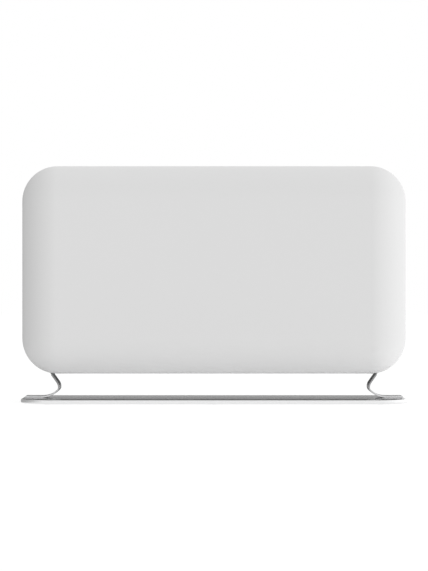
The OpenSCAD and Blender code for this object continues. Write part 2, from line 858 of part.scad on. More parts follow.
// Rocker switches: the rocker tips about a line just inside the bezel
pivot_in = 0.5;
rocker_gap = 0.3;
rocker_proud = 0.4;
rocker_in = 5;
trunnion_r = 1.2;
trunnion_len = 0.8;
well_deep = 11;
prong = [4, 0.8, 4.8];
prong_out = 3;
prong_y = 3;

module at_switch(z) {
  translate([pocket_x, pocket_mid_y, z]) children();
}

module switch_body() {
  difference() {
    union() {
      translate([bezel_t / 2, 0, 0]) cube([bezel_t, bezel_w, bezel_l], center = true);
      translate([-switch_deep, -switch_w / 2, -switch_l / 2]) cube([switch_deep, switch_w, switch_l]);
      for (side = [-1, 1]) translate([prong[0] / 2 - switch_deep - prong_out, side * prong_y, 0])
        cube(prong, center = true);
    }
    translate([-well_deep, -rocker_w / 2, -rocker_l / 2])
      cube([well_deep + bezel_t + past, rocker_w, rocker_l]);
    translate([-pivot_in, 0, 0]) rod_y(trunnion_r + run_gap, -switch_w / 2 - past, switch_w / 2 + past);
  }
}

// The rocker's two faces rise towards its ends, so that the pressed one lies level with the bezel
module rocker() {
  r = rocker_l / 2 - rocker_gap;
  face = bezel_t + pivot_in + rocker_proud;
  translate([-pivot_in, 0, 0]) rotate([0, -rocker_tip, 0]) {
    along_y(rocker_w - 2 * rocker_gap) intersection() {
      circle(r);
      polygon([[-rocker_in, -r], [face + r * tan(rocker_tip), -r], [face, 0],
        [face + r * tan(rocker_tip), r], [-rocker_in, r]]);
    }
    rod_y(trunnion_r, -rocker_w / 2 - trunnion_len, rocker_w / 2 + trunnion_len);
  }
}

module rocker_low() color("whitesmoke") at_switch(rocker_low_z) rocker();
module rocker_high() color("whitesmoke") at_switch(rocker_high_z) rocker();
module switch_body_low() color("dimgray") at_switch(rocker_low_z) switch_body();
module switch_body_high() color("dimgray") at_switch(rocker_high_z) switch_body();

lens_rim = 1.5;
lens_dome = 1.2;
stem_len = 14;
stem_in = 0.5;

// The lamp: a domed lens on a plain stem, turned about its own axis
module pilot_lamp() color("orange") at_switch(lamp_z) rotate([0, 90, 0]) {
  r = lamp_d / 2;
  dome_r = (pow(r, 2) + pow(lens_dome, 2)) / (2 * lens_dome);
  rotate_extrude() {
    translate([0, -pocket_wall - stem_len]) square([r - lamp_lip, pocket_wall + stem_len + stem_in]);
    square([r, lens_rim]);
    intersection() {
      translate([0, lens_rim + lens_dome - dome_r]) circle(dome_r);
      translate([0, lens_rim]) square([r, lens_dome + past]);
    }
  }
}

module control_screws() color("silver") at_knob()
  for (side = [-1, 1]) translate([0, 0, side * control_screw_z]) mirror([1, 0, 0]) {
    rod_x(control_screw_d / 2, 0, pocket_wall + control_screw_end);
    rod_x(control_screw_head_d / 2, -0.6 * knob_gap, 0);
  }

// Tip-over switch, on the right-hand face of the right frame plate
wall_x = chamber_right + plate;
tilt_front = 28;
tilt_rise = 90;
tilt_y = -tilt_front;
tilt_z = body_z + tilt_rise;
tilt_plate = [1.5, 20, 44];
tilt_foot = 10;
tilt_pin_r = 2;
pin_rim = 2;
pin_head_t = 1.1;
hub_r = 6;
swing_out = 8;
swing_x = wall_x + swing_out;
swing_t = 8;
swing_gap = 0.4;
arm_t = 3;
arm_w = 5;

module tilt_bracket() color("silver") translate([0, tilt_y, tilt_z]) difference() {
  translate([wall_x, -tilt_plate[1] / 2, -tilt_foot]) cube(tilt_plate);
  rod_x(tilt_pin_r + screw_gap / 2, wall_x - past, wall_x + tilt_plate[0] + past);
}

module tilt_pin() color("silver") translate([0, tilt_y, tilt_z]) {
  head_x = swing_x + swing_t + swing_gap;
  rod_x(tilt_pin_r, wall_x + 2 * screw_gap, head_x + pin_head_t);
  rod_x(tilt_pin_r + pin_rim, head_x, head_x + pin_head_t);
  rod_x(tilt_pin_r + pin_rim, wall_x + tilt_plate[0], swing_x - swing_gap);
}

module tilt_pendulum() color("dimgray") translate([swing_x, tilt_y, tilt_z]) difference() {
  union() {
    rod_x(hub_r, 0, swing_t);
    translate([swing_t / 2, 0, -arm_len / 2]) cube([arm_t, arm_w, arm_len], center = true);
    translate([0, 0, -arm_len]) rod_x(weight_d / 2, 0, swing_t);
  }
  rod_x(tilt_pin_r + run_gap, -past, swing_t + past);
}

// A snap switch above the weight's hub, with its plunger just clear of it
snap = [14, 20, 12];
snap_rise = 2.4;
snap_hole_y = 6;
snap_hole_r = 1.2;
plunger_x = 10.5;
plunger_r = 1.4;
plunger_gap = 0.6;

module tilt_switch() color("black") translate([wall_x + tilt_plate[0], tilt_y, tilt_z + hub_r]) {
  difference() {
    translate([0, -snap[1] / 2, snap_rise]) cube(snap);
    for (side = [-1, 1]) translate([0, side * snap_hole_y, snap_rise + snap[2] / 2])
      rod_x(snap_hole_r, -past, snap[0] + past);
  }
  translate([plunger_x, 0, plunger_gap]) cylinder(r = plunger_r, h = snap_rise);
}

// Terminal block, earth stud, gland and clamp
gland_out = 15;
gland_rise = 14;
gland_x = wall_x + gland_out;
gland_z = body_mid - straight_z + gland_rise;
gland_d = 13;
gland_bore_r = 3.75;
gland_len = 16;
gland_rim = 3;
gland_head = 3;
gland_nut_rim = 1.2;
gland_nut_t = 3.1;
terminal_rise = 158;
terminal_z = body_z + terminal_rise;
terminal_y = -34;
block = [8, 36, 20];
pole = [15, 9, 16];
pole_pitch = 11.5;
pole_in = 2;
pole_bore = [10.5, 1.8];
pole_screw_r = 1.6;
earth_y = 24;
earth_z = terminal_z + block[2] / 2;
earth_len = 12;
earth_r = 2;
earth_nut = [8, 3];
earth_washer = [4.5, 0.9];
clamp_in = 26;
clamp_y = body_d / 2 - clamp_in;
clamp_foot = [5, 12, 26];
clamp_r = 8;
clamp_screw = [10.5, 1.6];

module terminal_block() color("ivory") translate([wall_x, terminal_y, terminal_z]) difference() {
  union() {
    cube(block);
    for (i = [0 : 2]) translate([0, pole_in + pole_pitch * i, pole_in]) cube(pole);
  }
  for (i = [0 : 2]) translate([0, pole_in + pole[1] / 2 + pole_pitch * i, 0]) {
    translate([pole_bore[0], 0, -past]) cylinder(r = pole_bore[1], h = block[2] + 2 * past);
    for (side = [-1, 1]) translate([0, 0, block[2] / 2 + side * pole[2] / 4])
      rod_x(pole_screw_r, pole_bore[0], pole[0] + past);
  }
}

module earth_stud() color("goldenrod") translate([wall_x, earth_y, earth_z]) {
  nut_end = screw_gap + earth_nut[1];
  rod_x(earth_r, 0, earth_len);
  translate([screw_gap, 0, 0]) rotate([0, 90, 0]) cylinder(d = earth_nut[0], h = earth_nut[1], $fn = 6);
  rod_x(earth_washer[0], nut_end, nut_end + earth_washer[1]);
}

module cord_gland() color("dimgray") translate([gland_x, body_d / 2, gland_z]) difference() {
  union() {
    rod_y(gland_d / 2 + gland_rim, 0, gland_head);
    rod_y(gland_d / 2, gland_head - gland_len, past);
    rod_y(gland_d / 2 + gland_nut_rim, -sheet - play - gland_nut_t, -sheet - play);
  }
  rod_y(gland_bore_r, -gland_len, gland_head + past);
}

module cord_clamp() color("dimgray") translate([0, clamp_y, gland_z]) difference() {
  deep = clamp_foot[1];
  union() {
    translate([wall_x, -deep / 2, -clamp_foot[2] / 2]) cube(clamp_foot);
    translate([wall_x, -deep / 2, -clamp_r]) cube([gland_out, deep, 2 * clamp_r]);
    translate([gland_x, 0, 0]) rod_y(clamp_r, -deep / 2, deep / 2);
  }
  translate([gland_x, 0, 0]) rod_y(gland_bore_r + 2 * screw_gap, -deep / 2 - past, deep / 2 + past);
  for (side = [-1, 1]) translate([0, 0, side * clamp_screw[0]])
    rod_x(clamp_screw[1], wall_x - past, wall_x + clamp_foot[0] + past);
}

// Leg brackets: a bent strip on the casing's floor, turned up against the tongue
bracket_t = 2;
bracket_len = 27;
bracket_off = 1;
bracket_hole_off = 2;
bracket_x = tongue_x + leg_t / 2 + bracket_t / 2;
bracket_r = -straight_x - bracket_x + bracket_off;
bracket_up = tongue_top - (body_z + sheet + bracket_t / 2 + bracket_r);
bracket_start = -straight_x + bracket_off + bracket_len;
bracket_screw_x = -straight_x + bracket_len / 2 + bracket_hole_off;
bracket_screw_y = tongue_w / 3;
bracket_screw_len = 7;

module at_bracket_screws() {
  for (side = [0, 1], y = [-1, 1]) mirror([side, 0, 0])
    translate([bracket_screw_x, y * bracket_screw_y, body_z]) children();
}

module leg_bracket() {
  difference() {
    translate([bracket_start, 0, body_z + sheet + bracket_t / 2]) along_y(tongue_w) rotate(180)
      bent_strip([[bracket_len, 0], [bracket_r, -90], [bracket_up, 0]], bracket_t);
    for (y = [-1, 1]) {
      translate([0, y * bolt_y, bolt_z])
        rod_x(bolt_d / 2 + screw_gap, bracket_x - bracket_t, bracket_x + bracket_t);
      translate([bracket_screw_x, y * bracket_screw_y, body_z])
        flush_screw(screw_gap / 2, bracket_screw_len + past);
    }
  }
}

module leg_bracket_left() color("silver") leg_bracket();
module leg_bracket_right() color("silver") mirror([1, 0, 0]) leg_bracket();

module bracket_screws() color("silver") at_bracket_screws() flush_screw(0, bracket_screw_len);

// Bolts from the outer side of each tongue, with a nut on the bracket
module leg_bolts() color("silver") for (side = [0, 1], y = [-1, 1]) mirror([side, 0, 0])
  translate([0, y * bolt_y, bolt_z]) {
    outer = tongue_x - leg_t / 2;
    inner = bracket_x + bracket_t / 2;
    rod_x(bolt_d / 2, outer, inner + bolt_end);
    rod_x(bolt_d * 0.9, outer - bolt_head_h, outer);
    translate([inner, 0, 0]) rotate([0, 90, 0]) cylinder(d = bolt_d * 2, h = bolt_nut_h, $fn = 6);
  }

// Base: a pressed tray, open below, with a rolled edge
base_w = body_w + 2 * base_over;
pad_out = 8;
pad_in = 4;
pad_bevel = 0.6;
pad_x = base_w / 2 - base_r + pad_out;
pad_y = base_d / 2 - base_edge_r - pad_d / 2 - pad_in;

module base_plate() color("silver") difference() {
  union() {
    around(base_w, base_d, base_r) {
      translate([base_r - base_edge_r, base_top - base_edge_r])
        arc_band(base_edge_r, base_edge_r - base_sheet, 0, 90);
      translate([base_r - base_sheet, pad_proud]) square([base_sheet, base_h - base_edge_r]);
      translate([0, base_top - base_sheet]) square([base_r - base_edge_r, base_sheet]);
    }
    translate([0, 0, base_top - base_sheet / 2])
      cube([base_w - 2 * base_r, base_d - 2 * base_r, base_sheet], center = true);
  }
  for (side = [-1, 1], y = [-1, 1]) translate([side * stud_x, y * stud_y, 0])
    cylinder(r = stud_d / 2 + play, h = base_top + 1);
}

module base_pads() color("black") for (x = [-1, 0, 1], y = [-1, 1])
  translate([x * pad_x, y * pad_y, 0]) {
    cylinder(r1 = pad_d / 2 - pad_bevel, r2 = pad_d / 2, h = pad_bevel);
    translate([0, 0, pad_bevel]) cylinder(d = pad_d, h = base_top - base_sheet - pad_bevel);
  }

module foot_nuts() color("silver") for (side = [-1, 1], y = [-1, 1])
  translate([side * stud_x, y * stud_y, base_top - base_sheet - nut_h]) difference() {
    cylinder(d = nut_w, h = nut_h, $fn = 6);
    translate([0, 0, -past]) cylinder(r = stud_d / 2 + screw_gap / 2, h = nut_h + 2 * past);
  }

// Wiring: each wire passes its own points, which are rounded off by a smooth curve
grommet_d = 9;
grommet_in = 10;
grommet_rim = 1.5;
grommet_wall = 1.6;
grommet_y = shield_y - grommet_in;
grommet_z = cutout_z;
wire_d = 2;
wire_sides = 6;
wire_steps = 3;

// A point on the smooth curve through four points, at t between the middle two
function smooth(p0, p1, p2, p3, t) = 0.5 * (2 * p1 + (p2 - p0) * t
  + (2 * p0 - 5 * p1 + 4 * p2 - p3) * t * t + (3 * p1 - p0 - 3 * p2 + p3) * t * t * t);

function curve(p) = [for (i = [0 : len(p) - 2], k = [0 : wire_steps - 1])
  smooth(p[max(i - 1, 0)], p[i], p[i + 1], p[min(i + 2, len(p) - 1)], k / wire_steps), p[len(p) - 1]];

// A tube swept along a list of points
module wire(points) {
  line = curve(points);
  n = len(line);
  rings = [for (i = [0 : n - 1])
    let (way = line[min(i + 1, n - 1)] - line[max(i - 1, 0)], d = way / norm(way),
      a = cross(d, abs(d[1]) < 0.9 ? [0, 1, 0] : [1, 0, 0]), u = a / norm(a), v = cross(d, u))
    for (s = [0 : wire_sides - 1])
      line[i] + wire_d / 2 * (cos(s * 360 / wire_sides) * u + sin(s * 360 / wire_sides) * v)];
  sides = [for (i = [0 : n - 2], s = [0 : wire_sides - 1])
    let (a = i * wire_sides + s, b = i * wire_sides + (s + 1) % wire_sides)
    each [[a, a + wire_sides, b], [b, a + wire_sides, b + wire_sides]]];
  start = [for (s = [1 : wire_sides - 2]) [0, s, s + 1]];
  finish = [for (s = [1 : wire_sides - 2]) (n - 1) * wire_sides * [1, 1, 1] + [0, s + 1, s]];
  polyhedron(rings, concat(sides, start, finish));
}

module wire_grommet() color("black") translate([0, grommet_y, grommet_z]) difference() {
  union() {
    rod_x(grommet_d / 2 - screw_gap, chamber_right - grommet_rim, wall_x + grommet_rim);
    rod_x(grommet_d / 2 + grommet_rim, chamber_right - grommet_rim, chamber_right);
    rod_x(grommet_d / 2 + grommet_rim, wall_x, wall_x + grommet_rim);
  }
  rod_x(grommet_d / 2 - grommet_wall, chamber_right - 2 * grommet_rim, wall_x + 2 * grommet_rim);
}

// Ends of the wires: terminals, switch prongs, thermostat and element pins
wire_end = 0.5;
tag_x = pocket_x - switch_deep - prong_out - wire_end;
stat_x = pocket_x - pocket_wall - stat_flange[0] - stat_case[0] - wire_end;
pin_x = wall_x + tube_out + pin_len + wire_end + 2 * screw_gap;
lane_out = 24;
lane_x = wall_x + lane_out;

function terminal(k) = [wall_x + pole_bore[0], terminal_y + pole_in + pole[1] / 2 + pole_pitch * k,
  terminal_z + block[2] + 2 * screw_gap];

module wiring() color("firebrick") {
  earth_x = wall_x + earth_len + 3 * screw_gap;
  tag_front = pocket_mid_y - prong_y;
  tag_back = pocket_mid_y + prong_y;
  // Mains to the two switches
  wire([terminal(0), terminal(0) + [2, 0, 16], [lane_x, 0, rocker_low_z - 8],
    [tag_x - 6, tag_front - 1, rocker_low_z], [tag_x, tag_front, rocker_low_z]]);
  wire([terminal(1), terminal(1) + [1, 1, 22], [lane_x - 4, 4, rocker_high_z - 8],
    [tag_x - 6, tag_front - 1, rocker_high_z], [tag_x, tag_front, rocker_high_z]]);
  // Switches to the two elements
  wire([[tag_x, tag_back, rocker_low_z], [tag_x - 6, tag_back, rocker_low_z - 4],
    [lane_x + 6, 20, terminal_z], [pin_x + 6, 8, element_z[1] + 12], [pin_x + 3, 0, element_z[1] + 3],
    [pin_x, 0, element_z[1]]]);
  wire([[tag_x, tag_back, rocker_high_z], [tag_x - 8, tag_back + 3, rocker_high_z - 4],
    [lane_x - 4, 30, terminal_z], [lane_x + 6, 22, element_z[1] - 20], [pin_x + 5, 8, element_z[0] + 12],
    [pin_x + 3, 0, element_z[0] + 3], [pin_x, 0, element_z[0]]]);
  // Thermostat through the grommet to the thermal cut-out
  wire([[stat_x, pocket_mid_y, knob_z - 6], [stat_x - 4, pocket_mid_y, knob_z - 6],
    [stat_x - 9, pocket_mid_y + 3, knob_z - 9], [wall_x + 10, grommet_y, grommet_z + 40],
    [wall_x + 6, grommet_y, grommet_z + 6],
    [wall_x, grommet_y, grommet_z], [chamber_right - 6, grommet_y, grommet_z]]);
  // Earth
  wire([terminal(2), terminal(2) + [0, 4, 8], [earth_x + 1.7, earth_y - 8, earth_z + 14],
    [earth_x + wire_d, earth_y - 2, earth_z + 4], [earth_x + wire_d / 2, earth_y, earth_z]]);
}

front_panel();
rear_housing();
outlet_grille();
inlet_grille();
control_housing();
thermostat_knob();
thermostat_shaft();
thermostat_body();
rocker_low();
rocker_high();
switch_body_low();
switch_body_high();
pilot_lamp();
lower_element_fins();
lower_element_tube();
upper_element_fins();
upper_element_tube();
element_insulators();
element_clips();
end_plate_left();
end_plate_right();
front_heat_shield();
rear_heat_shield();
thermal_cutout();
tilt_bracket();
tilt_switch();
tilt_pin();
tilt_pendulum();
terminal_block();
wiring();
wire_grommet();
earth_stud();
cord_gland();
cord_clamp();
leg_left();
leg_right();
leg_bracket_left();
leg_bracket_right();
base_plate();
base_pads();
panel_screws();
chassis_screws();
leg_bolts();
bracket_screws();
foot_nuts();
shield_screws();
control_screws();
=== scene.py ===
# %% [markdown]
# # A convector heater, dressed for its portrait
# The heater is a rolled steel casing on two bent strip legs and a low pressed base. Its construction
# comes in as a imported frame: every sheet, screw and rocker at its real size. This file gives those
# pieces their finish, remakes the ones whose bends deserve a smoother surface, and sets up the camera
# and the light. Each step says first what it does and why, and then does it.

# %% Load the frame
import json

import bmesh
import bpy
import numpy as np
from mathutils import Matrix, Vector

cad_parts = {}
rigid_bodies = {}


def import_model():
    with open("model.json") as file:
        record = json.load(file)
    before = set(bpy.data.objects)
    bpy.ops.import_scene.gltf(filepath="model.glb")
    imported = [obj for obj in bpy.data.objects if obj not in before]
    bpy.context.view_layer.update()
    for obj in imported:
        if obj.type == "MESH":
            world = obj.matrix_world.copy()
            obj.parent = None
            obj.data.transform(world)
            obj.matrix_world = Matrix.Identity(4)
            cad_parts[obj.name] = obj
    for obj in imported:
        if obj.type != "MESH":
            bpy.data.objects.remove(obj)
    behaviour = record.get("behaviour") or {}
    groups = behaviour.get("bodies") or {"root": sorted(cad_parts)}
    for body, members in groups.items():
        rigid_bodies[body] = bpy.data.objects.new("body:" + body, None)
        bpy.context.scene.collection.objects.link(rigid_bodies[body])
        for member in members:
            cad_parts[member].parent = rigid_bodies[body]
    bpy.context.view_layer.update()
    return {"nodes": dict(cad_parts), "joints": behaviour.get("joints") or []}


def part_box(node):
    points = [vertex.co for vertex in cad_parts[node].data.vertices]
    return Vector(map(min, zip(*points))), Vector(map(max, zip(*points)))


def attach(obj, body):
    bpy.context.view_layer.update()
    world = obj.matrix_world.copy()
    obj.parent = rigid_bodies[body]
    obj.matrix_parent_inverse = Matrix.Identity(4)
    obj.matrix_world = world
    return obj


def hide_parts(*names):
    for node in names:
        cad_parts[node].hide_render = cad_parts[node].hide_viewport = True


for leftover in list(bpy.data.objects):
    bpy.data.objects.remove(leftover)

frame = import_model()
nodes = frame["nodes"]
print("pieces in the frame:", len(nodes))

# %% [markdown]
# ## Sizes to work from
# The frame says where each piece and each joint is, so the main places are read from it, and the new
# surfaces stay where the pieces are. The shapes of the bends and the details of the small pieces are
# written here again, because a box doesn't tell a radius.

# %% Sizes of the casing
front_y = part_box("front_panel")[0][1]
housing_low, housing_high = (np.array(corner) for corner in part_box("rear_housing"))
base_low, base_high = (np.array(corner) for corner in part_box("base_plate"))

body_w = housing_high[0] - housing_low[0]
body_h = housing_high[2] - housing_low[2]
body_mid = (housing_high[2] + housing_low[2]) / 2
joint_at = {joint["name"]: np.array(joint["pos_m"]) for joint in frame["joints"]}
print("casing:", round(body_w, 4), "wide and", round(body_h, 4), "high")
print("joints:", list(joint_at))

# %% [markdown]
# ## The camera
# The photograph looks at the heater square on, from far away: both ends look alike, and the base shows
# only a sliver of its top. A long lens far off gives that. Its height follows from the base, whose
# front edge is seen from just above, and its distance from how deep that sliver is.

# %% Camera
camera_away = 4.1
camera_height = 0.2117
focal_px = 2252
frame_h_px = 571
sensor = 36

camera_data = bpy.data.cameras.new("camera")
camera_data.sensor_width = sensor
camera_data.lens = sensor * focal_px / frame_h_px
camera_data.clip_end = 50
camera = bpy.data.objects.new("camera", camera_data)
camera.location = (0, -camera_away, camera_height)
camera.rotation_euler = (np.pi / 2, 0, 0)
bpy.context.scene.collection.objects.link(camera)
bpy.context.scene.camera = camera
bpy.context.scene.view_settings.view_transform = "Standard"
print("lens:", round(camera_data.lens, 1), "mm on a sensor of", sensor, "mm")


# %% [markdown]
# ## Small helpers for nodes
# Materials are graphs of nodes. They could be drawn by hand in the shader editor, but written out they
# can be read and changed in one place. These helpers add a node, set its inputs, join sockets and do a
# sum, so that each recipe below reads as a list of what it is made of.

# %% Node helpers
def add_node(tree, kind, inputs=(), **settings):
    """A node of that kind, with its settings, and its inputs set to a value or joined to a socket."""
    made = tree.nodes.new(kind)
    for name, value in settings.items():
        setattr(made, name, value)
    for key, value in dict(inputs).items():
        if isinstance(value, bpy.types.NodeSocket):
            tree.links.new(value, made.inputs[key])
        else:
            made.inputs[key].default_value = value
    return made


def reckon(tree, operation, a, b):
    """The result of a math node, whose two inputs are numbers or sockets."""
    return add_node(tree, "ShaderNodeMath", {0: a, 1: b}, operation=operation).outputs[0]


def new_group(name, inputs, outputs):
    """An empty node group with number inputs {name: value} and outputs {name: kind of socket}."""
    group = bpy.data.node_groups.new(name, "ShaderNodeTree")
    for label, value in inputs.items():
        socket = group.interface.new_socket(label, in_out="INPUT", socket_type="NodeSocketFloat")
        socket.default_value = value
    for label, kind in outputs.items():
        group.interface.new_socket(label, in_out="OUTPUT", socket_type=kind)
    start = group.nodes.new("NodeGroupInput")
    end = group.nodes.new("NodeGroupOutput")
    return group, start, end


# %% [markdown]
# ## Light and background
# The picture has a pure white ground and a very even light: the casing is a little brighter to the
# right, and darker to the left. Large lamps could give that, but each would cast a shadow of its own.
# A world whose brightness changes slowly with the direction does it without. It is an even level, plus
# a pull towards one direction, plus a share that grows with the square of the height, because light
# from above and below is stronger than from the sides. What the camera sees directly, or in metal, is
# plain white instead, so the white ground adds no light to the object.

# %% World
ambient = 0.627
light_pull = (0.375, -0.12, -0.075)
light_square = (0, 0, 0.56)
plain_white = (1, 1, 1, 1)


def rays_that_see(tree):
    """1 for rays from the camera and for rays that a mirror or glass sends on, else 0."""
    ray = add_node(tree, "ShaderNodeLightPath").outputs
    seen = reckon(tree, "MAXIMUM", ray["Is Camera Ray"], ray["Is Glossy Ray"])
    return reckon(tree, "MAXIMUM", seen, ray["Is Transmission Ray"])


world = bpy.data.worlds.new("studio")
bpy.context.scene.world = world
world.use_nodes = True
world.cycles.sampling_method = "NONE"
tree = world.node_tree
tree.nodes.clear()
direction = add_node(tree, "ShaderNodeTexCoord").outputs["Generated"]
pull = add_node(tree, "ShaderNodeVectorMath", {0: direction, 1: light_pull}, operation="DOT_PRODUCT")
square = add_node(tree, "ShaderNodeVectorMath", {0: direction, 1: direction}, operation="MULTIPLY")
rise = add_node(tree, "ShaderNodeVectorMath", {0: square.outputs["Vector"], 1: light_square},
                operation="DOT_PRODUCT")
level = reckon(tree, "ADD", reckon(tree, "ADD", pull.outputs["Value"], rise.outputs["Value"]), ambient)
soft_light = add_node(tree, "ShaderNodeBackground", {"Color": plain_white, "Strength": level})
white = add_node(tree, "ShaderNodeBackground", {"Color": plain_white, "Strength": 1})
either = add_node(tree, "ShaderNodeMixShader", {0: rays_that_see(tree), 1: soft_light.outputs[0],
                                                2: white.outputs[0]})
add_node(tree, "ShaderNodeOutputWorld", {"Surface": either.outputs[0]})
print("light from the right:", round(ambient + light_pull[0], 3))
print("light from the left:", round(ambient - light_pull[0], 3))

# %% [markdown]
# ## The floor
# The floor is a very large pale sheet on a lit table, as product photographers use it: light also comes
# up through it, so the underside of the casing stays pale. A plain white plane would come out grey in
# this light. So for the camera it glows just enough to be white, and a share of its true shading stays,
# so that a soft shadow ties the base to the ground.

# %% Floor
floor_half = 12
shadow_share = 0.3
floor_glow = 0.78


def sheet_of(name, corners):
    """One flat four-cornered piece of the studio."""
    mesh = bpy.data.meshes.new(name)
    mesh.from_pydata(corners, [], [(0, 1, 2, 3)])
    made = bpy.data.objects.new(name, mesh)
    bpy.context.scene.collection.objects.link(made)
    return made


def empty_material(name):
    """A material without nodes, and its tree."""
    made = bpy.data.materials.new(name)
    made.use_nodes = True
    made.node_tree.nodes.clear()
    return made, made.node_tree


floor = sheet_of("floor", [(-floor_half, -floor_half, 0), (floor_half, -floor_half, 0),
                           (floor_half, floor_half, 0), (-floor_half, floor_half, 0)])
paper, tree = empty_material("floor_paper")
through = add_node(tree, "ShaderNodeBsdfTransparent")
matt = add_node(tree, "ShaderNodeBsdfDiffuse", {"Color": (shadow_share, shadow_share, shadow_share, 1)})
glow = add_node(tree, "ShaderNodeEmission", {"Strength": floor_glow})
pale = add_node(tree, "ShaderNodeAddShader", {0: matt.outputs[0], 1: glow.outputs[0]})
either = add_node(tree, "ShaderNodeMixShader", {0: rays_that_see(tree), 1: through.outputs[0],
                                                2: pale.outputs[0]})
add_node(tree, "ShaderNodeOutputMaterial", {"Surface": either.outputs[0]})
floor.data.materials.append(paper)
print("floor:", 2 * floor_half, "m square")

# %% [markdown]
# ## Cards for the metal
# Polished and satin metal look like what stands around them. In an all-white room they would vanish,
# so a studio puts cards just out of the picture. The one behind leans back. It is pale at its foot,
# which the flat top of the base mirrors, and dark above, for the rounded front of the base and the
# inner faces of the legs. A dark strip lies on the floor before it. A card leans out at either side:
# the left one is grey except in front, and the right one is bright, which lights up that end of the
# base. Only reflections see them.

# %% Cards
card_wide = 1.8
side_tall = 2.4
fore, aft = -3.0, 1.6
beside = 0.355
behind, behind_tall, behind_right = 0.3, 0.9, 0.5
under_front = 0.1
off_floor = 0.001
card_forms = {
    "card_behind": [(-card_wide, behind, 0), (behind_right, behind, 0),
                    (behind_right, aft, behind_tall), (-card_wide, aft, behind_tall)],
    "card_under": [(-card_wide, under_front, 0), (card_wide, under_front, 0),
                   (card_wide, behind, 0), (-card_wide, behind, 0)],
    "card_left": [(-beside, fore, 0), (-beside, aft, 0),
                  (-card_wide, aft, side_tall), (-card_wide, fore, side_tall)],
    "card_right": [(beside, aft, 0), (beside, fore, 0),
                   (card_wide, fore, side_tall), (card_wide, aft, side_tall)],
}
print("cards:", list(card_forms))

# %% Their light
# For each card: the axis along which its light changes, from where to where, and from which level to
# which. The dark strip has the same level all over.
card_fades = {
    "card_behind": ("Z", 0.02, 0.045, 0.65, 0.06),
    "card_under": ("Z", 0, 1, 0.1, 0.1),
    "card_left": ("Y", -0.17, -0.05, 1.0, 0.45),
    "card_right": ("Y", -0.17, -0.06, 1.1, 1.3),
}


def fade_along(tree, axis, start, end, start_level, end_level):
    """A number that goes from one level to the other between two places on an axis of the object."""
    where = add_node(tree, "ShaderNodeTexCoord").outputs["Object"]
    place = add_node(tree, "ShaderNodeSeparateXYZ", {0: where}).outputs[axis]
    return add_node(tree, "ShaderNodeMapRange", {"Value": place, "From Min": start, "From Max": end,
                                                 "To Min": start_level, "To Max": end_level}).outputs[0]


def hide_from(studio_piece, *rays):
    """Hides a piece of the studio from those kinds of rays."""
    for kind in rays:
        setattr(studio_piece, "visible_" + kind, False)


for name, corners in card_forms.items():
    card = sheet_of(name, [(x, y, z + off_floor) for x, y, z in corners])
    board, tree = empty_material(name + "_board")
    light = add_node(tree, "ShaderNodeEmission", {"Strength": fade_along(tree, *card_fades[name])})
    add_node(tree, "ShaderNodeOutputMaterial", {"Surface": light.outputs[0]})
    card.data.materials.append(board)
    hide_from(card, "camera", "diffuse", "shadow", "transmission")
    print(name, "goes from level", card_fades[name][3], "to", card_fades[name][4])

# %% [markdown]
# ## A little light from below
# Light comes up through the floor to the underside of the casing, except over the base. A strip of light
# in front of the base would reach the lower roll of the casing, but it would brighten the face as well.
# So a clear sheet just above the base glows a little instead. Only matt surfaces see it: it lifts the
# lower roll, which turns towards it, and hardly touches the upright face.

# %% Light from below
below_level = 0.22
above_base = 0.0005
left, front = base_low[:2]
right, back = base_high[:2]
sheet_z = base_high[2] + above_base
light_sheet = sheet_of("light_from_below", [(left, front, sheet_z), (right, front, sheet_z),
                                            (right, back, sheet_z), (left, back, sheet_z)])
clear_sheet, tree = empty_material("clear_sheet")
through = add_node(tree, "ShaderNodeBsdfTransparent")
light = add_node(tree, "ShaderNodeEmission", {"Strength": below_level})
both = add_node(tree, "ShaderNodeAddShader", {0: through.outputs[0], 1: light.outputs[0]})
add_node(tree, "ShaderNodeOutputMaterial", {"Surface": both.outputs[0]})
light_sheet.data.materials.append(clear_sheet)
hide_from(light_sheet, "camera", "glossy", "shadow", "transmission")
print("light from below at z", round(sheet_z, 4))

# %% [markdown]
# ## Effects that several finishes share
# Powder coat and moulded plastic both have a fine grain, and bare rolled or drawn metal has lines along
# one axis. An image of either would have to be laid over every piece without a seam, so both are noise
# in space instead. Each is a node group with two inputs, built once. It puts out a normal and a mask,
# and the material itself keeps the shader.

# %% Grain and brushed lines
grain_detail, line_detail = 1.5, 2
blotches, blotch_detail = 9, 3
line_stretch = (0.012, 1, 1)


def grain_group():
    """Fine bumps, and a mask of wide soft blotches. Inputs are grains per metre and depth in metres."""
    group, start, end = new_group("fine_grain", {"Grains": 2500, "Depth": 0.00001},
                                  {"Normal": "NodeSocketVector", "Mask": "NodeSocketFloat"})
    where = add_node(group, "ShaderNodeTexCoord").outputs["Object"]
    fine = add_node(group, "ShaderNodeTexNoise", {"Vector": where, "Scale": start.outputs["Grains"],
                                                  "Detail": grain_detail})
    wide = add_node(group, "ShaderNodeTexNoise", {"Vector": where, "Scale": blotches,
                                                  "Detail": blotch_detail})
    bump = add_node(group, "ShaderNodeBump", {"Height": fine.outputs[0], "Strength": 1,
                                              "Distance": start.outputs["Depth"]})
    group.links.new(bump.outputs[0], end.inputs["Normal"])
    group.links.new(wide.outputs[0], end.inputs["Mask"])
    return group


